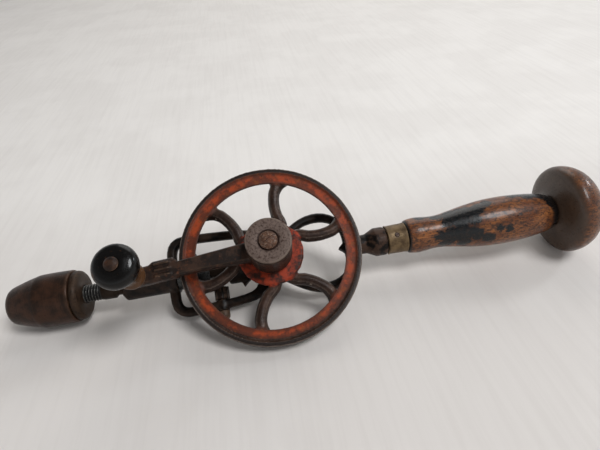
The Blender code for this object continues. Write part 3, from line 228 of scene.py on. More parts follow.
def turned(name, outline, axis="X", centre=(0, 0, 0), bored=False, steps=0):
    """Extrudes a ring along an outline of (distance, radius); a bored one comes back round."""
    steps = steps or bpy.context.scene.drill_steel.ring_steps
    distance, radius = outline[0]
    deselect()
    bpy.ops.mesh.primitive_circle_add(vertices=steps, radius=radius,
                                      fill_type="NOTHING" if bored else "NGON")
    piece = bpy.context.object
    piece.name = name
    bpy.ops.object.mode_set(mode="EDIT")
    bpy.ops.mesh.select_all(action="SELECT")
    bpy.ops.transform.translate(value=(0, 0, distance))
    for there, wider in outline[1:] + (outline[:1] if bored else []):
        bpy.ops.mesh.extrude_region_move(
            TRANSFORM_OT_translate={"value": (0, 0, there - distance)})
        bpy.ops.transform.resize(value=(wider / radius, wider / radius, 1),
                                 center_override=(0, 0, 0))
        distance, radius = there, wider
    closed_up()
    laid_in_tool(piece, axis, centre)
    return piece


def along_shares(start, length, radius, shares, pieces=4):
    """A smooth outline through shares of a length and of a radius, with pieces between them."""
    points = [Vector((start + length * far, radius * wide)) for far, wide in shares]
    ends = [2 * points[0] - points[1], *points, 2 * points[-1] - points[-2]]
    line = []
    for a, b, c, d in zip(ends, ends[1:], ends[2:], ends[3:]):
        for i in range(pieces):
            t = i / pieces
            line.append(0.5 * (2 * b + (c - a) * t + (2 * a - 5 * b + 4 * c - d) * t**2
                               + (3 * b - a - 3 * c + d) * t**3))
    return [tuple(point) for point in (*line, points[-1])]


def softened(piece, width):
    """Rounds a piece's sharp edges and shades it smooth."""
    apply_modifier(piece, "BEVEL", width=width, segments=2, limit_method="ANGLE",
                   angle_limit=SHARP_ANGLE, use_clamp_overlap=True)
    bpy.ops.object.shade_smooth_by_angle(angle=SHARP_ANGLE)
    return piece


def copied(node, name):
    """A copy of a node, merged into one closed surface."""
    mesh = frame["nodes"][node].data.copy()
    piece = bpy.data.objects.new(name, mesh)
    bpy.context.scene.collection.objects.link(piece)
    activate(piece)
    bpy.ops.object.mode_set(mode="EDIT")
    bpy.ops.mesh.select_all(action="SELECT")
    bpy.ops.mesh.remove_doubles(threshold=MERGE_DISTANCE)
    bpy.ops.object.mode_set(mode="OBJECT")
    return piece


def cast(node, name, grain, rounding=5):
    """A copy of a node with the soft corners and hollows of a casting."""
    piece = copied(node, name)
    apply_modifier(piece, "REMESH", mode="VOXEL", voxel_size=grain)
    apply_modifier(piece, "SMOOTH", factor=0.5, iterations=rounding)
    bpy.ops.object.shade_smooth()
    return piece


def machined(node, name, width):
    """A copy of a node with fine rounded edges."""
    return softened(copied(node, name), width)


def drilled_for(piece, pin):
    """Cuts a clear hole across the piece for a pin."""
    low, high = tool_box(pin)
    hole = reach(pin, 0) + CLEARANCE
    drilled(piece, turned("pin_cutter", [(2 * low.z, hole), (2 * high.z, hole)], "Z",
                          crossing(pin), steps=24))


def drilled(piece, cutter):
    """Cuts another piece's shape out of this one, and removes the cutter."""
    apply_modifier(piece, "BOOLEAN", operation="DIFFERENCE", solver="EXACT", object=cutter)
    activate(cutter)
    bpy.ops.object.delete()


def placed(piece, body, slot, node, finish=None):
    """Gives a piece its finish, its body and the node that it stands for."""
    piece.data.materials.clear()
    piece.data.materials.append(finish_of(finish or slot))
    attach(piece, body)
    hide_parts(node)
    return piece


def dressed(node, slot):
    """Gives a node that stays its finish."""
    kept = frame["nodes"][node]
    kept.material_slots[0].material = finish_of(slot)


# Shader helpers. Each returns the socket that it makes, apart from the first and the last two.

def set_input(tree, socket, value):
    """Links a socket, or sets a number, vector or colour."""
    if isinstance(value, bpy.types.NodeSocket):
        tree.links.new(value, socket)
    elif hasattr(value, "__len__") and len(value) == 3 and len(socket.default_value) == 4:
        socket.default_value = (*value, 1)
    else:
        socket.default_value = value


def added(tree, kind, output, inputs=None, **options):
    """Adds a node, sets its options, and sets its inputs by their names or numbers."""
    node = tree.nodes.new("ShaderNode" + kind)
    for name, value in options.items():
        setattr(node, name, value)
    for key, value in (inputs or {}).items():
        set_input(tree, node.inputs[key], value)
    return node.outputs[output]


def tool_place(tree, centre=(0, 0, 0)):
    """A point of the surface in the tool's axes, in millimetres, from a centre."""
    to_tool = TOOL.inverted()
    return added(tree, "Mapping", "Vector", {
        "Vector": added(tree, "TexCoord", "Object"),
        "Rotation": to_tool.to_euler("XYZ"),
        "Scale": (1 / MM,) * 3,
        "Location": (to_tool.translation - Vector(centre)) / MM,
    })


def stretched(tree, vector, stretch):
    """A vector with each of its parts multiplied."""
    return added(tree, "VectorMath", "Vector", {0: vector, 1: stretch}, operation="MULTIPLY")


def noise(tree, vector, scale, detail=4.0, roughness=0.55, distortion=0.0, output="Fac"):
    """Cloudy noise, with its scale in cells to the millimetre."""
    return added(tree, "TexNoise", output, {
        "Vector": vector, "Scale": scale, "Detail": detail, "Roughness": roughness,
        "Distortion": distortion,
    })


def band(tree, value, low, high, start=0.0, end=1.0):
    """A smooth step from start to end while the value goes from low to high."""
    return added(tree, "MapRange", "Result", {
        "Value": value, "From Min": low, "From Max": high, "To Min": start, "To Max": end,
    }, interpolation_type="SMOOTHSTEP")


def calc(tree, operation, first, second, clamp=True):
    """The result of an operation on two values, kept within 0 and 1 where it is clamped."""
    return added(tree, "Math", "Value", {0: first, 1: second}, operation=operation,
                 use_clamp=clamp)


def times(tree, first, *factors):
    """A product of values, kept within 0 and 1."""
    for factor in factors:
        first = calc(tree, "MULTIPLY", first, factor)
    return first


def scaled_sum(tree, value, factor, more):
    """A value, multiplied and added to another."""
    return added(tree, "Math", "Value", {0: value, 1: factor, 2: more},
                 operation="MULTIPLY_ADD")


def mixed(tree, share, first, second):
    """The first colour where the share is 0, and the second where it is 1."""
    share_input, first_color, second_color = 0, 6, 7
    return added(tree, "Mix", 2, {share_input: share, first_color: first, second_color: second},
                 data_type="RGBA")


def layered(tree, ground, *layers):
    """A colour with others laid over it, each given as its share and its colour."""
    for share, over in layers:
        ground = mixed(tree, share, ground, over)
    return ground


def part_of(tree, vector, index):
    """One part of a vector."""
    return added(tree, "SeparateXYZ", index, {"Vector": vector})


def off_axle(tree, place):
    """The distance from the wheel's axle."""
    return added(tree, "VectorMath", "Value", {0: stretched(tree, place, (1, 1, 0))},
                 operation="LENGTH")


def edges(tree):
    """1 on worn edges, 0 on faces and in hollows."""
    return band(tree, added(tree, "NewGeometry", "Pointiness"), 0.51, 0.56)


def hollows(tree):
    """1 in hollows where grime stays, 0 elsewhere."""
    return band(tree, added(tree, "NewGeometry", "Pointiness"), 0.40, 0.49, 1.0, 0.0)


def bumped(tree, *layers, strength=1.0):
    """Bumps on top of each other, each given as its height and its depth in millimetres."""
    inputs = {}
    for height, depth in layers:
        inputs |= {"Strength": strength, "Distance": depth * MM, "Height": height}
        inputs["Normal"] = added(tree, "Bump", "Normal", inputs)
    return inputs["Normal"]


def spots(tree, vector, places):
    """1 in the middle of each (x, y, z, radius), falling to 0 at its radius."""
    total = 0.0
    for x, y, z, radius in places:
        distance = added(tree, "VectorMath", "Value", {0: vector, 1: (x, y, z)},
                         operation="DISTANCE")
        total = calc(tree, "MAXIMUM", total, band(tree, distance, 0, radius, 1.0, 0.0))
    return total


def torn_place(tree, place):
    """The place, moved a few millimetres either way by noise."""
    span = Vector((14, 9, 9))
    tear = noise(tree, stretched(tree, place, (0.5, 1, 1)), 0.28, 6, 0.7, output="Color")
    shifted = added(tree, "VectorMath", "Vector", {0: place, 1: span / 2}, operation="SUBTRACT")
    return added(tree, "VectorMath", "Vector", {0: tear, 1: span, 2: shifted},
                 operation="MULTIPLY_ADD")


def feed(tree, **sockets):
    """Sets the shader's sockets, or links them to what the helpers made."""
    for name, value in sockets.items():
        set_input(tree, tree.nodes["Principled BSDF"].inputs[name.replace("_", " ")], value)


def overlay(tree, *layers):
    """Lays further colours over the one that the shader already has."""
    shown = tree.nodes["Principled BSDF"].inputs["Base Color"].links[0].from_socket
    feed(tree, Base_Color=layered(tree, shown, *layers))


# Finishes. Each one fills in the nodes of a new material.

# The length of the frame's tail and the radius of the hub's painted face, in millimetres.
TAIL_LENGTH = 22
HUB_RADIUS = 19.3

# The thread that shows behind the chuck at rest.
THREAD_REACH = 9.8 * MM

# Where the knob's lacquer is rubbed through beside its crown (the first), and where a painted warm reflection lies
# on its lower side (the second): x and y, in shares of its radius.
KNOB_RUBS_AND_REFLECTION = ((-0.60, 0.72), (-0.90, -0.30))

# Where black stain is left on the grip: x, y, z and radius in the tool's axes, in millimetres.
STAIN_PLACES = (
    (92, 9, 5, 8), (100, 8, 8, 9), (108, 7, 9, 10), (116, 6, 11, 11), (124, 6, 12, 9),
    (131, 9, 11, 7), (100, -6, 9, 7), (106, -7, 9, 11), (113, -7, 10, 12), (121, -8, 10, 9),
    (128, -12, 8, 8), (134, -7, 12, 5), (140, -8.5, 11.5, 6), (113, 0, 12, 10),
    (157, 11, 8, 10), (150, 12, 8, 8), (168, 8, 9, 10), (170, 2, 10, 8), (148, 14, 4, 9),
    (163, 11, 7, 10), (121, 0, 13, 8), (106, 2, 11, 7), (103, -12, 4, 8), (114, -13, 5, 9),
    (92, -9, -7, 14), (116, 4, -13, 17), (150, -8, -12, 12), (140, 12, -6, 9),
)

# The same on the head.
HEAD_STAINS = ((196, -8, 12, 7), (190, 16, 8, 8), (199, 8, -6, 8), (192, -14, -12, 8))


def black_iron(tree):
    """Black japanned casting: brown where it is worn and on the tail, with a fine cast skin."""
    place = tool_place(tree)
    clouds = noise(tree, place, 0.11, 5)
    skin = noise(tree, place, 1.1, 5, 0.6)
    patchy = band(tree, noise(tree, place, 0.35, 4), 0.42, 0.6)
    tail = tool_box("ferrule")[0].x / MM - TAIL_LENGTH
    handled = times(tree, band(tree, part_of(tree, place, 0), tail, tail + 4, 0.15, 0.95),
                    band(tree, noise(tree, place, 0.22, 5), 0.40, 0.55))
    feed(tree, Specular_IOR_Level=0.13,
         Base_Color=layered(tree, bpy.context.scene.drill_iron.black,
                            (band(tree, clouds, 0.42, 0.62), color(43, 32, 25)),
                            (handled, color(66, 48, 38)),
                            (times(tree, edges(tree), patchy, 0.8), color(88, 69, 56))),
         Roughness=band(tree, skin, 0.3, 0.7, 0.27, 0.5),
         Normal=bumped(tree, (skin, 0.12)))


def brown_iron(tree):
    """Brown patina with rust and dark grease."""
    place = tool_place(tree)
    clouds = noise(tree, place, 0.16, 6, 0.65)
    skin = noise(tree, place, 1.4, 5, 0.6)
    rust = band(tree, noise(tree, place, 0.5, 5, 0.7), 0.56, 0.70)
    feed(tree, Metallic=0.1, Specular_IOR_Level=0.2,
         Base_Color=layered(tree, color(29, 19, 14),
                            (band(tree, clouds, 0.42, 0.60), bpy.context.scene.drill_iron.brown),
                            (times(tree, rust, 0.7), color(92, 53, 33)),
                            (times(tree, hollows(tree), 0.8), color(22, 17, 14)),
                            (times(tree, edges(tree), 0.55), color(112, 88, 70))),
         Roughness=band(tree, skin, 0.3, 0.7, 0.32, 0.58),
         Normal=bumped(tree, (skin, 0.16)))


def red_paint(tree):
    """Orange red paint left in the rim's channel and on the hub, and worn iron elsewhere."""
    settings = bpy.context.scene.drill_iron
    place = tool_place(tree)
    radius = off_axle(tree, place)
    fine = noise(tree, place, 0.8, 6, 0.72)
    skin = noise(tree, place, 1.5, 4, 0.6)
    high = tool_box("gear_wheel")[1] / MM
    rim = high.x
    wavy = scaled_sum(tree, calc(tree, "SUBTRACT", fine, 0.5, clamp=False), 2.6, radius)
    bare_below = band(tree, part_of(tree, place, 1), -42, 0, 2.0, 0.0)
    outer = calc(tree, "ADD", wavy, bare_below, clamp=False)
    channel = times(tree, band(tree, wavy, rim - 10.6, rim - 9.4),
                    band(tree, outer, rim - 2.7, rim - 1.9, 1.0, 0.0))
    hub = band(tree, wavy, HUB_RADIUS - 0.7, HUB_RADIUS + 0.7, 1.0, 0.0)
    front = band(tree, part_of(tree, place, 2), high.z - 2.6, high.z - 1.6)
    painted = times(tree, calc(tree, "MAXIMUM", channel, hub), front,
                    band(tree, fine, 0.60, 0.68, 1.0, 0.0))
    wear = band(tree, noise(tree, place, 0.14, 6, 0.7), 0.40, 0.58)
    rusty = band(tree, noise(tree, place, 0.3, 5, 0.7), 0.54, 0.66)
    rim_red = layered(tree, settings.paint,
                      (times(tree, wear, 0.9), color(82, 41, 27)),
                      # Darker brown beside the outer lip: grime, and painted shade in the crease beside the lip.
                      (band(tree, outer, rim - 4.8, rim - 2.8, 0.0, 0.8), color(70, 38, 26)),
                      (band(tree, wavy, rim - 6.6, rim - 9.2), color(80, 47, 37)),
                      (times(tree, rusty, 0.6), color(122, 66, 30)))
    chipped = band(tree, noise(tree, place, 0.17, 8, 0.68), 0.39, 0.60)
    hub_red = mixed(tree, chipped, color(150, 54, 30), color(52, 31, 25))
    red = layered(tree, rim_red, (hub, hub_red),
                  (times(tree, hollows(tree), 0.8), color(44, 28, 23)))
    lip = band(tree, radius, rim - 2.6, rim - 2.0)
    bare = layered(tree, settings.bare,
                   (wear, color(42, 29, 23)),
                   (lip, mixed(tree, fine, color(25, 20, 18), color(48, 39, 35))),
                   (times(tree, edges(tree), 0.6), color(150, 134, 122)))
    feed(tree, Specular_IOR_Level=0.18,
         Base_Color=mixed(tree, painted, bare, red),
         Metallic=times(tree, calc(tree, "SUBTRACT", 1.0, painted), 0.15),
         Roughness=scaled_sum(tree, painted, 0.16, band(tree, skin, 0.3, 0.7, 0.24, 0.44)),
         Normal=bumped(tree, (painted, 0.12), (skin, 0.1)))


def turned_metal(tree, name, flat=False, specked=0.5):
    """Patinated metal with the fine rings that a lathe leaves, and bright worn edges.

    The rings go round the spindle, or, where the turned face is flat, round the wheel's axle.
    """
    group, setting, dark, bright, metallic, rough, lines = TURNED[name]
    base = getattr(getattr(bpy.context.scene, group), setting)
    dark = color(*dark)
    bright = color(*bright)
    place = tool_place(tree)
    clouds = noise(tree, place, 0.14, 6, 0.65)
    specks = noise(tree, place, 0.8, 5, 0.7)
    across = added(tree, "CombineXYZ", "Vector", {"X": off_axle(tree, place)}) if flat else place
    rings = noise(tree, stretched(tree, across, (lines, 0.02, 0.02)), 1.0, 3)
    worn = times(tree, edges(tree), band(tree, specks, 0.35, 0.55))
    feed(tree, Metallic=metallic, Specular_IOR_Level=0.14,
         Base_Color=layered(tree, base,
                            (band(tree, clouds, 0.38, 0.62), dark),
                            (times(tree, band(tree, specks, 0.52, 0.7), specked), dark),
                            (times(tree, band(tree, rings, 0.5, 0.7), 0.12), bright),
                            (worn, bright)),
         Roughness=band(tree, specks, 0.3, 0.7, rough - 0.07, rough + 0.12),
         Normal=bumped(tree, (specks, 0.16 * specked), (rings, 0.05)))


# Turned finishes: the group and name of the colour's setting, a darker and a brighter colour, the
# metallic share, the roughness and the fine rings to the millimetre.
TURNED = {
    "brown_steel": ("drill_steel", "chuck", (36, 25, 19), (80, 58, 43), 0.12, 0.34, 2.5),
    "ring_steel": ("drill_steel", "ring", (22, 15, 11), (72, 54, 40), 0.12, 0.42, 2.5),
    "dark_steel": ("drill_steel", "dark", (22, 21, 21), (90, 90, 88), 0.25, 0.3, 2.5),
    "aged_brass": ("drill_handle", "brass", (74, 58, 41), (134, 113, 84), 0.22, 0.42, 1.6),
    "spindle_steel": ("drill_steel", "dark", (17, 16, 16), (96, 94, 90), 0.3, 0.34, 2.5),
    "grey_steel": ("drill_steel", "grey", (50, 35, 29), (140, 122, 112), 0.12, 0.5, 2.5),
}


def grey_steel(tree):
    """Grey brown steel of the fastenings, with a painted highlight round the rim of the crank's cap."""
    turned_metal(tree, "grey_steel", flat=True, specked=0.1)
    place = tool_place(tree)
    cap = tool_box("crank_cap")[1] / MM
    # Painted highlight: a patchy bright band round the rim of the cap's top face.
    rim = band(tree, off_axle(tree, place), cap.x - 1.1, cap.x - 0.6)
    face = band(tree, part_of(tree, place, 2), cap.z - 0.9, cap.z - 0.4)
    patchy = band(tree, noise(tree, place, 0.3, 4), 0.38, 0.55, 0.1, 0.9)
    overlay(tree, (times(tree, rim, face, patchy), color(112, 98, 88)))


def spindle_steel(tree):
    """Dark steel, browned on the collar behind the thread."""
    turned_metal(tree, "spindle_steel")
    place = tool_place(tree)
    thread_end = (tool_box("chuck_ring")[1].x + THREAD_REACH) / MM
    browned = band(tree, part_of(tree, place, 0), thread_end - 0.6, thread_end + 0.6)
    overlay(tree, (browned, mixed(tree, noise(tree, place, 0.3, 4), color(30, 21, 14),
                                  color(46, 34, 25))))


def rusty_screw(tree):
    """The screw in the cap: rust, with bright scratches across the slot."""
    place = tool_place(tree)
    clouds = noise(tree, place, 0.7, 6, 0.7)
    scratches = noise(tree, stretched(tree, place, (0.6, 3.0, 1)), 1.2, 4, 0.7, 0.6)
    bright = times(tree, band(tree, scratches, 0.57, 0.64), 0.7)
    feed(tree, Metallic=0.2, Specular_IOR_Level=0.25,
         Base_Color=layered(tree, color(68, 45, 34),
                            (band(tree, clouds, 0.4, 0.62), color(98, 68, 50)),
                            (bright, color(176, 160, 146))),
         Roughness=band(tree, clouds, 0.3, 0.7, 0.42, 0.7),
         Normal=bumped(tree, (clouds, 0.2)))


def black_wood(tree):
    """Black lacquered wood, rubbed to brown at the base, in specks and beside the crown, with a painted warm
    reflection beside the crown on its lower side.
    """
    settings = bpy.context.scene.drill_knob
    place = tool_place(tree, knob_centre())
    clouds = noise(tree, place, 0.25, 5, 0.65)
    grain = noise(tree, stretched(tree, place, (1.4, 1.4, 0.12)), 1.2, 4, 0.6)
    low, high = tool_box("knob")
    foot = low.z / MM
    height = (high.z - low.z) / MM
    radius = reach("knob", 0) / MM
    base = band(tree, part_of(tree, place, 2), foot + height * 0.1, foot + height * 0.6,
                0.66, 0.0)
    rubbed = band(tree, scaled_sum(tree, clouds, 0.8, base), 0.66, 0.92)
    specks = band(tree, noise(tree, place, 0.6, 5, 0.7), 0.60, 0.72, 0.0, 0.6)
    # The first spot is a real rub; the second is a painted reflection, brown like the rub.
    rubs_and_reflection = spots(tree, place, [(radius * x, radius * y, foot + height * 0.8, radius * 0.6)
                               for x, y in KNOB_RUBS_AND_REFLECTION])
    rubs_and_reflection = band(tree, times(tree, rubs_and_reflection, scaled_sum(tree, clouds, 1.4, 0.2)), 0.15, 0.6)
    rubbed = calc(tree, "MAXIMUM", calc(tree, "MAXIMUM", rubbed, specks),
                  times(tree, rubs_and_reflection, 0.85))
    wood = mixed(tree, grain, settings.worn, color(66, 44, 28))
    feed(tree, Specular_IOR_Level=0.1, Coat_Weight=0.35, Coat_Roughness=0.07,
         Base_Color=mixed(tree, rubbed, settings.lacquer, wood),
         Roughness=band(tree, clouds, 0.3, 0.7, 0.2, 0.4),
         Normal=bumped(tree, (clouds, 0.15), (grain, 0.05)))


def stained_wood(tree, places):
    """Wood whose black stain is worn through, with short pores and a thin old varnish."""
    settings = bpy.context.scene.drill_handle
    place = tool_place(tree)
    grain = noise(tree, stretched(tree, place, (0.09, 1.2, 1.2)), 0.8, 5, 0.65, 0.4)
    pores = noise(tree, stretched(tree, place, (0.45, 2.0, 2.0)), 0.9, 4, 0.7)
    mottle = noise(tree, stretched(tree, place, (0.7, 1, 1)), 0.6, 6, 0.75)
    wide = noise(tree, stretched(tree, place, (0.55, 1, 1)), 0.1, 5, 0.65)
    warm = layered(tree, settings.wood,
                   (band(tree, wide, 0.40, 0.60), color(108, 60, 30)),
                   (band(tree, grain, 0.40, 0.64, 0.0, 0.7), color(80, 44, 25)),
                   (band(tree, mottle, 0.47, 0.60, 0.0, 0.9), color(48, 29, 20)),
                   (band(tree, pores, 0.53, 0.64, 0.0, 0.9), color(24, 16, 13)))
    cloudy = calc(tree, "ADD", band(tree, wide, 0.62, 0.80), calc(tree, "SUBTRACT", mottle, 0.62))
    rough = scaled_sum(tree, mottle, 0.5, times(tree, pores, 0.5))
    patches = times(tree, spots(tree, torn_place(tree, place), places), 1.5)
    left = calc(tree, "MAXIMUM", cloudy, calc(tree, "SUBTRACT", patches, rough))
    stained = band(tree, left, 0.02, 0.40)
    black = mixed(tree, band(tree, mottle, 0.50, 0.66, 0.0, 0.6), settings.stain,
                  color(50, 34, 25))
    feed(tree, Specular_IOR_Level=0.25, Coat_Weight=0.22, Coat_Roughness=0.12,
         Base_Color=mixed(tree, stained, warm, black),
         Roughness=scaled_sum(tree, stained, -0.1, band(tree, mottle, 0.3, 0.7, 0.24, 0.46)),
         Normal=bumped(tree, (mottle, 0.16), (pores, 0.06)))


def worn_wood(tree):
    """The grip: brown where hands wore it, black in patches and dark at both ends."""
    stained_wood(tree, STAIN_PLACES)
    start = tool_box("ferrule")[1].x / MM
    end = tool_box("handle_head")[0].x / MM
    along = part_of(tree, tool_place(tree), 0)
    ends = calc(tree, "MAXIMUM", band(tree, along, start + 0.5, start + 1.8, 1.0, 0.0),
                band(tree, along, end - 7, end - 3))
    overlay(tree, (ends, color(18, 14, 12)))


def head_wood(tree):
    """The head: dark towards the grip, and worn to the wood on its crown."""
    stained_wood(tree, HEAD_STAINS)
    low, high = tool_box("handle_head")
    place = tool_place(tree, (low.x, 0, 0))
    depth = (high.x - low.x) / MM
    line = scaled_sum(tree, noise(tree, place, 0.12, 5, 0.7), 9.0, part_of(tree, place, 0))
    dark = band(tree, line, depth * 0.20 + 3, depth * 0.32 + 4, 1.0, 0.0)
    smoky = mixed(tree, noise(tree, place, 0.3, 4), color(50, 37, 29), color(80, 62, 49))
    overlay(tree, (0.3, color(58, 40, 30)), (dark, smoky))


def pale_floor(tree):
    """Pale paint with the faint streaks of boards, and paler behind the tool."""
    settings = bpy.context.scene.drill_stage
    place = tool_place(tree)
    streaks = noise(tree, stretched(tree, place, (0.25, 0.012, 0.012)), 1.0, 4, 0.6)
    clouds = noise(tree, place, 0.012, 4)
    far = band(tree, part_of(tree, place, 1), -30, 110)
    soiled = calc(tree, "ADD", times(tree, band(tree, streaks, 0.4, 0.7), 0.07),
                  band(tree, clouds, 0.4, 0.6, 0, 0.08))
    feed(tree, Roughness=0.7,
         Base_Color=layered(tree, settings.floor, (far, settings.backdrop),
                            (soiled, color(168, 158, 150))),
         Normal=bumped(tree, (streaks, 0.1), strength=0.5))


FINISHES = {maker.__name__: maker for maker in (
    black_iron, brown_iron, red_paint, grey_steel, spindle_steel, rusty_screw, black_wood,
    worn_wood, head_wood, pale_floor,
)}


def finish_of(name):
    """The finish of this name, made when it is first asked for."""
    finish = bpy.data.materials.get(name + "_finish")
    if not finish:
        finish = bpy.data.materials.new(name + "_finish")
        finish.use_nodes = True
        if name in FINISHES:
            FINISHES[name](finish.node_tree)
        else:
            turned_metal(finish.node_tree, name)
    return finish


# Outlines of turned pieces: share of the length, share of the radius.

GRIP_SHARES = (
    (0.00, 0.640), (0.015, 0.70), (0.065, 0.742), (0.11, 0.722), (0.165, 0.682), (0.23, 0.682),
    (0.31, 0.765), (0.41, 0.878), (0.51, 0.965), (0.61, 1.00), (0.72, 0.99), (0.82, 0.94),
    (0.90, 0.87), (0.96, 0.78), (1.00, 0.68),
)
HEAD_SHARES = (
    (0.00, 0.36), (0.05, 0.52), (0.09, 0.78), (0.14, 0.92), (0.22, 0.985), (0.31, 1.00),
    (0.45, 0.975), (0.61, 0.89), (0.76, 0.73), (0.88, 0.52), (0.96, 0.29), (1.00, 0.03),
)
SHELL_SHARES = (
    (0.065, 0.698), (0.14, 0.76), (0.25, 0.841), (0.36, 0.912), (0.44, 0.958), (0.485, 0.985),
    (0.56, 0.997), (0.72, 1.0), (0.88, 0.993), (0.975, 0.985),
)
KNOB_SHARES = (
    (0.00, 0.60), (0.04, 0.64), (0.09, 0.60), (0.16, 0.52), (0.29, 0.53), (0.44, 0.62),
    (0.58, 0.78), (0.70, 0.94), (0.80, 1.00), (0.89, 0.96), (0.96, 0.80), (1.00, 0.46),
)
RIVET_SHARES = ((0.3, 1), (0.7, 0.78), (0.94, 0.5), (1, 0.22))
SCREW_SHARES = ((0.45, 1), (0.78, 0.74), (0.95, 0.38), (1, 0.06))

# The rivet's head against the model's, and the cells of two castings against the frame's.
RIVET_SIZE = 0.87
WHEEL_GRAIN = 1.05
ARM_GRAIN = 0.7

SCREW_SLOT_TURN = radians(28)
SCREW_SLOT_WIDTH = 1.1 * MM
THREAD_ANGLE = radians(40)

# How much further back than in the model the chuck's shell meets its ring.
SHELL_EXTRA = 3.9 * MM


# Operators: one for each piece or group of like pieces

class DRILL_OT_handle(bpy.types.Operator):
    """Turns the grip, the mushroom head, the ferrule and its pin"""
    bl_idname = "drill.handle"
    bl_label = "Handle"

    def execute(self, context):
        settings = context.scene.drill_handle
        ferrule_low, ferrule_high = tool_box("ferrule")
        grip_low, grip_high = tool_box("handle_grip")
        head_low, head_high = tool_box("handle_head")
        start = ferrule_high.x + CLEARANCE
        end = head_low.x - CLEARANCE
        bore = 5.3 * MM
        tenon = 7.3 * MM
        spigot = 6 * MM
        hole = spigot + CLEARANCE
        outline = [(tool_box("frame")[1].x + CLEARANCE, bore), (grip_low.x, bore),
                   (grip_low.x, tenon), (start, tenon),
                   *along_shares(start, end - start, settings.grip_radius, GRIP_SHARES),
                   (end, spigot), (grip_high.x, spigot)]
        grip = softened(turned("grip_wood", outline), 0.25 * MM)
        placed(grip, "frame", "worn_wood", "handle_grip")

        depth = head_high.x - head_low.x
        outline = [(grip_high.x + CLEARANCE, hole), (head_low.x, hole),
                   *along_shares(head_low.x, depth, settings.head_radius, HEAD_SHARES)]
        head = softened(turned("head_wood_dome", outline, steps=96), 0.3 * MM)
        placed(head, "frame", "head_wood", "handle_head")

        outer = ferrule_high.z
        inner = outer - 1.3 * MM
        rolled = 0.4 * MM
        outline = [
            (ferrule_low.x, inner), (ferrule_low.x, outer - 2 * rolled),
            (ferrule_low.x + rolled, outer - rolled / 2),
            (ferrule_low.x + 2 * rolled, outer - rolled),
            (ferrule_high.x - 4 * rolled, outer - rolled / 2), (ferrule_high.x - 2 * rolled, outer),
            (ferrule_high.x - rolled / 2, outer - rolled / 4), (ferrule_high.x, outer - rolled),
            (ferrule_high.x, inner),
        ]
        ferrule = turned("ferrule_brass", outline, bored=True)
        pin_low, pin_high = tool_box("ferrule_pin")
        radius = reach("ferrule_pin", 0)
        drilled_for(ferrule, "ferrule_pin")
        placed(softened(ferrule, 0.1 * MM), "frame", "aged_brass", "ferrule")
        outline = [(pin_low.z, radius * 0.9), (pin_low.z + 0.2 * MM, radius),
                   (pin_high.z - 0.35 * MM, radius), (pin_high.z - 0.1 * MM, radius * 0.7),
                   (pin_high.z, radius * 0.3)]
        pin = turned("ferrule_pin_head", outline, "Z", crossing("ferrule_pin"), steps=24)
        placed(softened(pin, 0.08 * MM), "frame", "grey_steel", "ferrule_pin")
        return {"FINISHED"}


class DRILL_OT_knob(bpy.types.Operator):
    """Turns the crank's knob, its rivet and the washer under it"""
    bl_idname = "drill.knob"
    bl_label = "Knob"

    def execute(self, context):
        low, high = tool_box("knob")
        centre = knob_centre()
        rivet_low, rivet_high = tool_box("knob_rivet")
        washer_low, washer_high = tool_box("knob_washer")
        shank = 2.2 * MM
        hole = shank + CLEARANCE
        radius = context.scene.drill_knob.radius
        outline = [(low.z, hole), *along_shares(low.z, high.z - low.z, radius, KNOB_SHARES),
                   (high.z, hole)]
        knob = softened(turned("knob_wood", outline, "Z", centre, bored=True), 0.2 * MM)
        placed(knob, "knob", "black_wood", "knob")

        head = reach("knob_rivet", 0) * RIVET_SIZE
        under = high.z + CLEARANCE
        rise = rivet_high.z - under
        tail = rivet_low.z + 1.28 * MM
        outline = [(rivet_low.z, head * 0.6), (rivet_low.z + 0.4 * MM, head * 0.85), (tail, head),
                   (tail, shank), (under, shank), (under, head),
                   *along_shares(under, rise, head, RIVET_SHARES)]
        rivet = softened(turned("knob_rivet_head", outline, "Z", centre, steps=40), 0.12 * MM)
        placed(rivet, "wheel", "brown_iron", "knob_rivet")

        edge = reach("knob_washer", 0)
        outline = [(washer_low.z, hole), (washer_low.z, edge), (washer_high.z, edge),
                   (washer_high.z, hole)]
        washer = softened(turned("knob_seat", outline, "Z", centre, bored=True, steps=48), 0.2 * MM)
        placed(washer, "wheel", "brown_iron", "knob_washer")
        return {"FINISHED"}


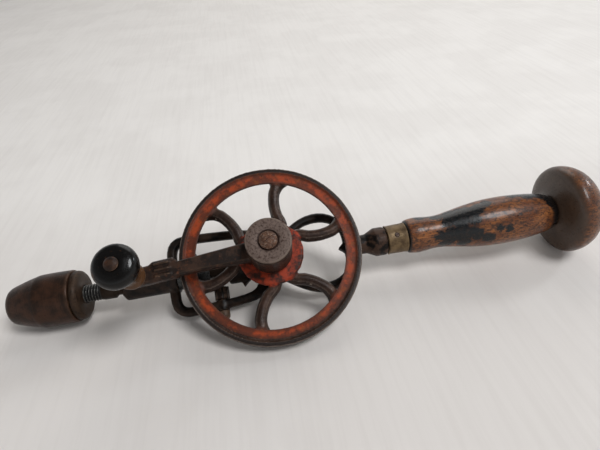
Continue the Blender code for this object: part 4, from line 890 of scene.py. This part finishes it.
class DRILL_OT_crank(bpy.types.Operator):
    """Casts the crank's arm, and turns its cap and slotted screw"""
    bl_idname = "drill.crank"
    bl_label = "Crank"

    def execute(self, context):
        arm = cast("crank_arm", "crank_arm_iron", context.scene.drill_iron.grain * ARM_GRAIN)
        placed(arm, "wheel", "brown_iron", "crank_arm")

        low, high = tool_box("crank_cap")
        rim = high.x
        hole = 2.7 * MM
        recess = 5.6 * MM
        floor = high.z - 0.9 * MM
        step = 0.35 * MM
        outline = [
            (low.z, hole), (low.z, rim - step), (low.z + step, rim), (high.z - 2 * step, rim),
            (high.z - step / 2, rim - step / 2), (high.z, rim - 1.6 * step),
            (high.z, recess + step), (high.z - step / 2, recess), (floor, recess), (floor, hole),
        ]
        cap = softened(turned("crank_cap_disc", outline, "Z", bored=True, steps=96), 0.12 * MM)
        placed(cap, "wheel", "grey_steel", "crank_cap")

        screw_low, screw_high = tool_box("crank_screw")
        head = screw_high.x
        shank = 2.4 * MM
        under = floor + CLEARANCE
        rise = screw_high.z - under
        outline = [(screw_low.z, shank), (under, shank), (under, head),
                   *along_shares(under, rise, head, SCREW_SHARES)]
        screw = turned("crank_screw_head", outline, "Z", steps=48)
        deselect()
        bpy.ops.mesh.primitive_cube_add(size=1)
        slot = bpy.context.object
        slot.scale = (3 * head, SCREW_SLOT_WIDTH, rise)
        slot.rotation_euler = (0, 0, SCREW_SLOT_TURN)
        slot.location = (0, 0, screw_high.z)
        bpy.ops.object.transform_apply(location=True, rotation=True, scale=True)
        laid_in_tool(slot, "Z", (0, 0, 0))
        drilled(screw, slot)
        placed(softened(screw, 0.12 * MM), "wheel", "grey_steel", "crank_screw", "rusty_screw")
        return {"FINISHED"}


class DRILL_OT_wheel(bpy.types.Operator):
    """Casts the gear wheel, and finishes its axle, washer and nut"""
    bl_idname = "drill.wheel"
    bl_label = "Gear wheel"

    def execute(self, context):
        iron = context.scene.drill_iron
        wheel = cast("gear_wheel", "gear_wheel_iron", iron.grain * WHEEL_GRAIN, rounding=3)
        self.widen_spokes(wheel, iron.spoke_swell)
        placed(wheel, "wheel", "red_paint", "gear_wheel")
        nut = machined("axle_nut", "axle_nut_hex", 0.4 * MM)
        placed(nut, "wheel", "grey_steel", "axle_nut")
        low, high = tool_box("axle")
        radius = high.x
        chamfer = 0.8 * MM
        socket_floor = high.z - 12 * MM
        socket = 2.7 * MM
        outline = [(socket_floor, socket), (high.z, socket), (high.z, radius - chamfer),
                   (high.z - chamfer, radius), (low.z + chamfer, radius), (low.z, radius - chamfer)]
        axle = softened(turned("axle_pin", outline, "Z", steps=48), 0.15 * MM)
        placed(axle, "wheel", "grey_steel", "axle")
        dressed("axle_washer", "grey_steel")
        return {"FINISHED"}

    @staticmethod
    def widen_spokes(wheel, swell):
        """Moves the spokes' sides outwards in the wheel's plane, less near the hub and rim."""
        inverse = TOOL.inverted()
        hub = 19 * MM
        rim_width = 9.6 * MM
        rim = tool_box("gear_wheel")[1].x - rim_width
        fade = 3 * MM
        normals = [inverse.to_3x3() @ vertex.normal for vertex in wheel.data.vertices]
        for vertex, normal in zip(wheel.data.vertices, normals):
            place = inverse @ vertex.co
            radius = Vector((place.x, place.y)).length
            share = min((radius - hub) / fade, (rim - radius) / fade, 1)
            if share > 0:
                vertex.co = TOOL @ (place + Vector((normal.x, normal.y, 0)) * swell * share)


class DRILL_OT_spindle(bpy.types.Operator):
    """Turns the spindle with its thread, and finishes the pinion on it"""
    bl_idname = "drill.spindle"
    bl_label = "Spindle and pinion"

    def execute(self, context):
        low, high = tool_box("spindle")
        ring_high = tool_box("chuck_ring")[1]
        frame_low = tool_box("frame")[0]
        thread = 5.1 * MM
        journal = 4 * MM
        collar = 5.4 * MM
        neck = 4.1 * MM
        collar_length = 8.4 * MM
        hidden_thread = 14 * MM
        edge = 0.7 * MM
        rings_per_turn = 8
        pitch = thread_pitch()
        depth = context.scene.drill_steel.thread_depth
        thread_end = ring_high.x + THREAD_REACH
        thread_start = ring_high.x - hidden_thread
        steps = rings_per_turn * round((thread_end - thread_start) / pitch)
        collar_end = thread_end + collar_length
        outline = [(low.x, thread - edge), (low.x + edge, thread), (thread_start - pitch, thread)]
        outline += [(thread_start + (thread_end - thread_start) * i / steps, thread)
                    for i in range(steps + 1)]
        outline += [
            (thread_end + edge / 4, collar - edge / 2), (thread_end + edge, collar),
            (collar_end - 2 * edge, collar), (collar_end - edge / 2, neck + edge / 3),
            (collar_end + edge / 2, neck), (frame_low.x - 2 * edge, neck),
            (frame_low.x, journal), (high.x - edge, journal), (high.x, journal - edge),
        ]
        spindle = turned("spindle_shaft", outline, steps=48)
        self.cut_thread(spindle, thread_start, thread_end, pitch, depth)
        drilled_for(spindle, "pinion_pin")
        activate(spindle)
        bpy.ops.object.shade_smooth_by_angle(angle=THREAD_ANGLE)
        placed(spindle, "spindle", "dark_steel", "spindle", "spindle_steel")

        pinion = machined("pinion", "pinion_gear", 0.15 * MM)
        placed(pinion, "spindle", "dark_steel", "pinion")
        dressed("pinion_pin", "dark_steel")
        dressed("thrust_washer", "dark_steel")
        return {"FINISHED"}

    @staticmethod
    def cut_thread(spindle, start, end, pitch, depth):
        """Sinks a helical groove into the rings between start and end."""
        inverse = TOOL.inverted()
        for vertex in spindle.data.vertices:
            place = inverse @ vertex.co
            if not start <= place.x <= end:
                continue
            turn = Vector((place.y, place.z)).angle_signed(Vector((1, 0)), 0) / (2 * pi)
            phase = (place.x / pitch + turn) % 1
            groove = depth * (1 - abs(2 * phase - 1)) * min((end - place.x) / pitch, 1)
            radial = Vector((0, place.y, place.z)).normalized()
            vertex.co = TOOL @ (place - radial * groove)


def thread_pitch():
    """The travel of the chuck for one turn of its shell."""
    couplings = frame["record"]["behaviour"]["couplings"]
    ratio = next(row["ratio"] for row in couplings if row["joint"] == "shell_turn")
    return 2 * pi / abs(ratio)


class DRILL_OT_chuck(bpy.types.Operator):
    """Turns the chuck's shell and ring, and finishes its jaws"""
    bl_idname = "drill.chuck"
    bl_label = "Chuck"

    def execute(self, context):
        low, high = tool_box("chuck_shell")
        ring_low, ring_high = tool_box("chuck_ring")
        radius = high.y
        back = high.x + SHELL_EXTRA
        wall = 3.6 * MM
        bore = radius - wall
        mouth = 5.55 * MM
        nose = 8.8 * MM
        edge = 1.1 * MM
        cone_slope = 0.4452
        cone_end = low.x + (bore - mouth) / cone_slope
        outline = [
            (low.x, mouth), (low.x, nose - edge * 0.8), (low.x + edge * 0.3, nose + edge * 0.1),
            (low.x + edge, nose + edge),
            *along_shares(low.x, back - low.x, radius, SHELL_SHARES, 3),
            (back, radius * 0.965), (back, bore), (cone_end, bore),
        ]
        shell = softened(turned("chuck_shell_barrel", outline, bored=True, steps=96), 0.15 * MM)
        placed(shell, "chuck_shell", "brown_steel", "chuck_shell")

        outer = ring_high.y
        thread_hole = 5.4 * MM
        spigot = bore - CLEARANCE
        seat = back + CLEARANCE / 3
        front = seat + 0.4 * MM
        outline = [
            (ring_low.x, thread_hole), (ring_low.x, spigot), (seat, spigot),
            (seat, outer - edge), (front, outer - edge),
            (front, outer - edge * 0.3), (front + edge * 0.3, outer),
            (ring_high.x - 2.2 * edge, outer), (ring_high.x - 1.2 * edge, outer - edge * 0.35),
            (ring_high.x - edge * 0.4, outer - 1.2 * edge), (ring_high.x, outer - 2.4 * edge),
            (ring_high.x, thread_hole),
        ]
        ring = softened(turned("chuck_ring_collar", outline, bored=True, steps=96), 0.15 * MM)
        placed(ring, "chuck_shell", "brown_steel", "chuck_ring", "ring_steel")
        for index in (1, 2, 3):
            jaw = machined(f"jaw_{index}", f"jaw_{index}_steel", 0.2 * MM)
            placed(jaw, f"jaw_{index}", "dark_steel", f"jaw_{index}")
        dressed("jaw_follower", "dark_steel")
        return {"FINISHED"}


class DRILL_OT_frame(bpy.types.Operator):
    """Casts the looped frame, and finishes the side stud and its nut"""
    bl_idname = "drill.frame"
    bl_label = "Frame"

    def execute(self, context):
        body = cast("frame", "frame_casting", context.scene.drill_iron.grain)
        placed(body, "frame", "black_iron", "frame")
        stud = machined("side_stud", "side_stud_eye", 0.25 * MM)
        placed(stud, "frame", "dark_steel", "side_stud", "brown_iron")
        nut = machined("stud_nut", "stud_nut_notched", 0.25 * MM)
        placed(nut, "frame", "dark_steel", "stud_nut", "black_iron")
        return {"FINISHED"}


# The camera's place in the tool's axes, its turn in them in degrees, and its lens and sensor in
# millimetres.
CAMERA_PLACE = (2.083 * MM, -65.556 * MM, 262.332 * MM)
CAMERA_TURN = (18.2373, -0.52, -10.5755)
CAMERA_LENS = 27.074
SENSOR_WIDTH = 36

# Each lamp's place and diameter in metres, and its tint.
LAMPS = {
    "key": ((0.76, -0.70, 1.75), 0.8, (0.96, 0.98, 1.0)),
    "top": ((0.45, 1.50, 1.35), 1.5, (1.0, 0.98, 0.95)),
    "window": ((1.50, 0.38, 0.86), 0.24, (0.86, 0.93, 1.0)),
}


class DRILL_OT_stage(bpy.types.Operator):
    """Sets up the pale floor, the soft light and the camera"""
    bl_idname = "drill.stage"
    bl_label = "Stage"

    def execute(self, context):
        settings = context.scene.drill_stage
        self.lay_floor(settings)
        for name, (place, size, tint) in LAMPS.items():
            self.hang_lamp(name + "_lamp", place, size, getattr(settings, name), tint)
        self.light_world(settings)
        deselect()
        bpy.ops.object.camera_add()
        camera = context.object
        camera.name = "photo_camera"
        camera.data.lens = CAMERA_LENS
        camera.data.sensor_width = SENSOR_WIDTH
        camera.data.clip_start = 0.01
        camera.data.clip_end = 50
        turn = Euler([radians(angle) for angle in CAMERA_TURN]).to_matrix().to_4x4()
        camera.matrix_world = TOOL @ Matrix.Translation(CAMERA_PLACE) @ turn
        context.scene.camera = camera
        context.scene.view_settings.view_transform = "Standard"
        return {"FINISHED"}

    @staticmethod
    def lay_floor(settings):
        """A wide pale floor."""
        deselect()
        bpy.ops.mesh.primitive_plane_add(size=settings.floor_width)
        floor = bpy.context.object
        floor.name = "floor"
        floor.data.materials.append(finish_of("pale_floor"))

    @staticmethod
    def hang_lamp(name, place, size, power, tint):
        """A round soft lamp that faces the tool."""
        deselect()
        bpy.ops.object.light_add(type="AREA", location=place)
        lamp = bpy.context.object
        lamp.name = name
        lamp.rotation_euler = (-Vector(place)).to_track_quat("-Z", "Y").to_euler()
        lamp.data.shape = "DISK"
        lamp.data.size = size
        lamp.data.energy = power
        lamp.data.color = tint

    @staticmethod
    def light_world(settings):
        """Even pale light, brighter towards the horizon."""
        world = bpy.data.worlds.new("pale_world")
        bpy.context.scene.world = world
        world.use_nodes = True
        tree = world.node_tree
        background = tree.nodes["Background"]
        background.inputs["Color"].default_value = (0.97, 0.985, 1.0, 1)
        upwards = part_of(tree, added(tree, "TexCoord", "Generated"), 2)
        set_input(tree, background.inputs["Strength"],
                  band(tree, upwards, 0.05, 0.75, settings.horizon, settings.zenith))


class DRILL_PT_looks(bpy.types.Panel):
    """Lists the pieces, their sizes and their colours"""
    bl_idname = "DRILL_PT_looks"
    bl_label = "Hand Drill"
    bl_space_type = "VIEW_3D"
    bl_region_type = "UI"
    bl_category = "Hand Drill"

    def draw(self, context):
        layout = self.layout
        for operator in OPERATORS:
            layout.operator(operator.bl_idname)
        for name, group in SETTINGS.items():
            box = layout.box()
            for prop in group.__annotations__:
                box.prop(getattr(context.scene, name), prop)


SETTINGS = {
    "drill_handle": HandleSettings, "drill_knob": KnobSettings, "drill_iron": IronSettings,
    "drill_steel": SteelSettings, "drill_stage": StageSettings,
}
OPERATORS = (DRILL_OT_stage, DRILL_OT_frame, DRILL_OT_wheel, DRILL_OT_crank, DRILL_OT_knob,
             DRILL_OT_spindle, DRILL_OT_chuck, DRILL_OT_handle)


def register():
    for group in SETTINGS.values():
        bpy.utils.register_class(group)
    for name, group in SETTINGS.items():
        setattr(bpy.types.Scene, name, PointerProperty(type=group))
    for operator in OPERATORS:
        bpy.utils.register_class(operator)
    bpy.utils.register_class(DRILL_PT_looks)


def unregister():
    bpy.utils.unregister_class(DRILL_PT_looks)
    for operator in reversed(OPERATORS):
        bpy.utils.unregister_class(operator)
    for name, group in SETTINGS.items():
        delattr(bpy.types.Scene, name)
        bpy.utils.unregister_class(group)


def main():
    """Makes every piece."""
    register()
    bpy.ops.drill.stage()
    bpy.ops.drill.frame()
    bpy.ops.drill.wheel()
    bpy.ops.drill.crank()
    bpy.ops.drill.knob()
    bpy.ops.drill.spindle()
    bpy.ops.drill.chuck()
    bpy.ops.drill.handle()
    deselect()


if __name__ == "__main__":
    main()
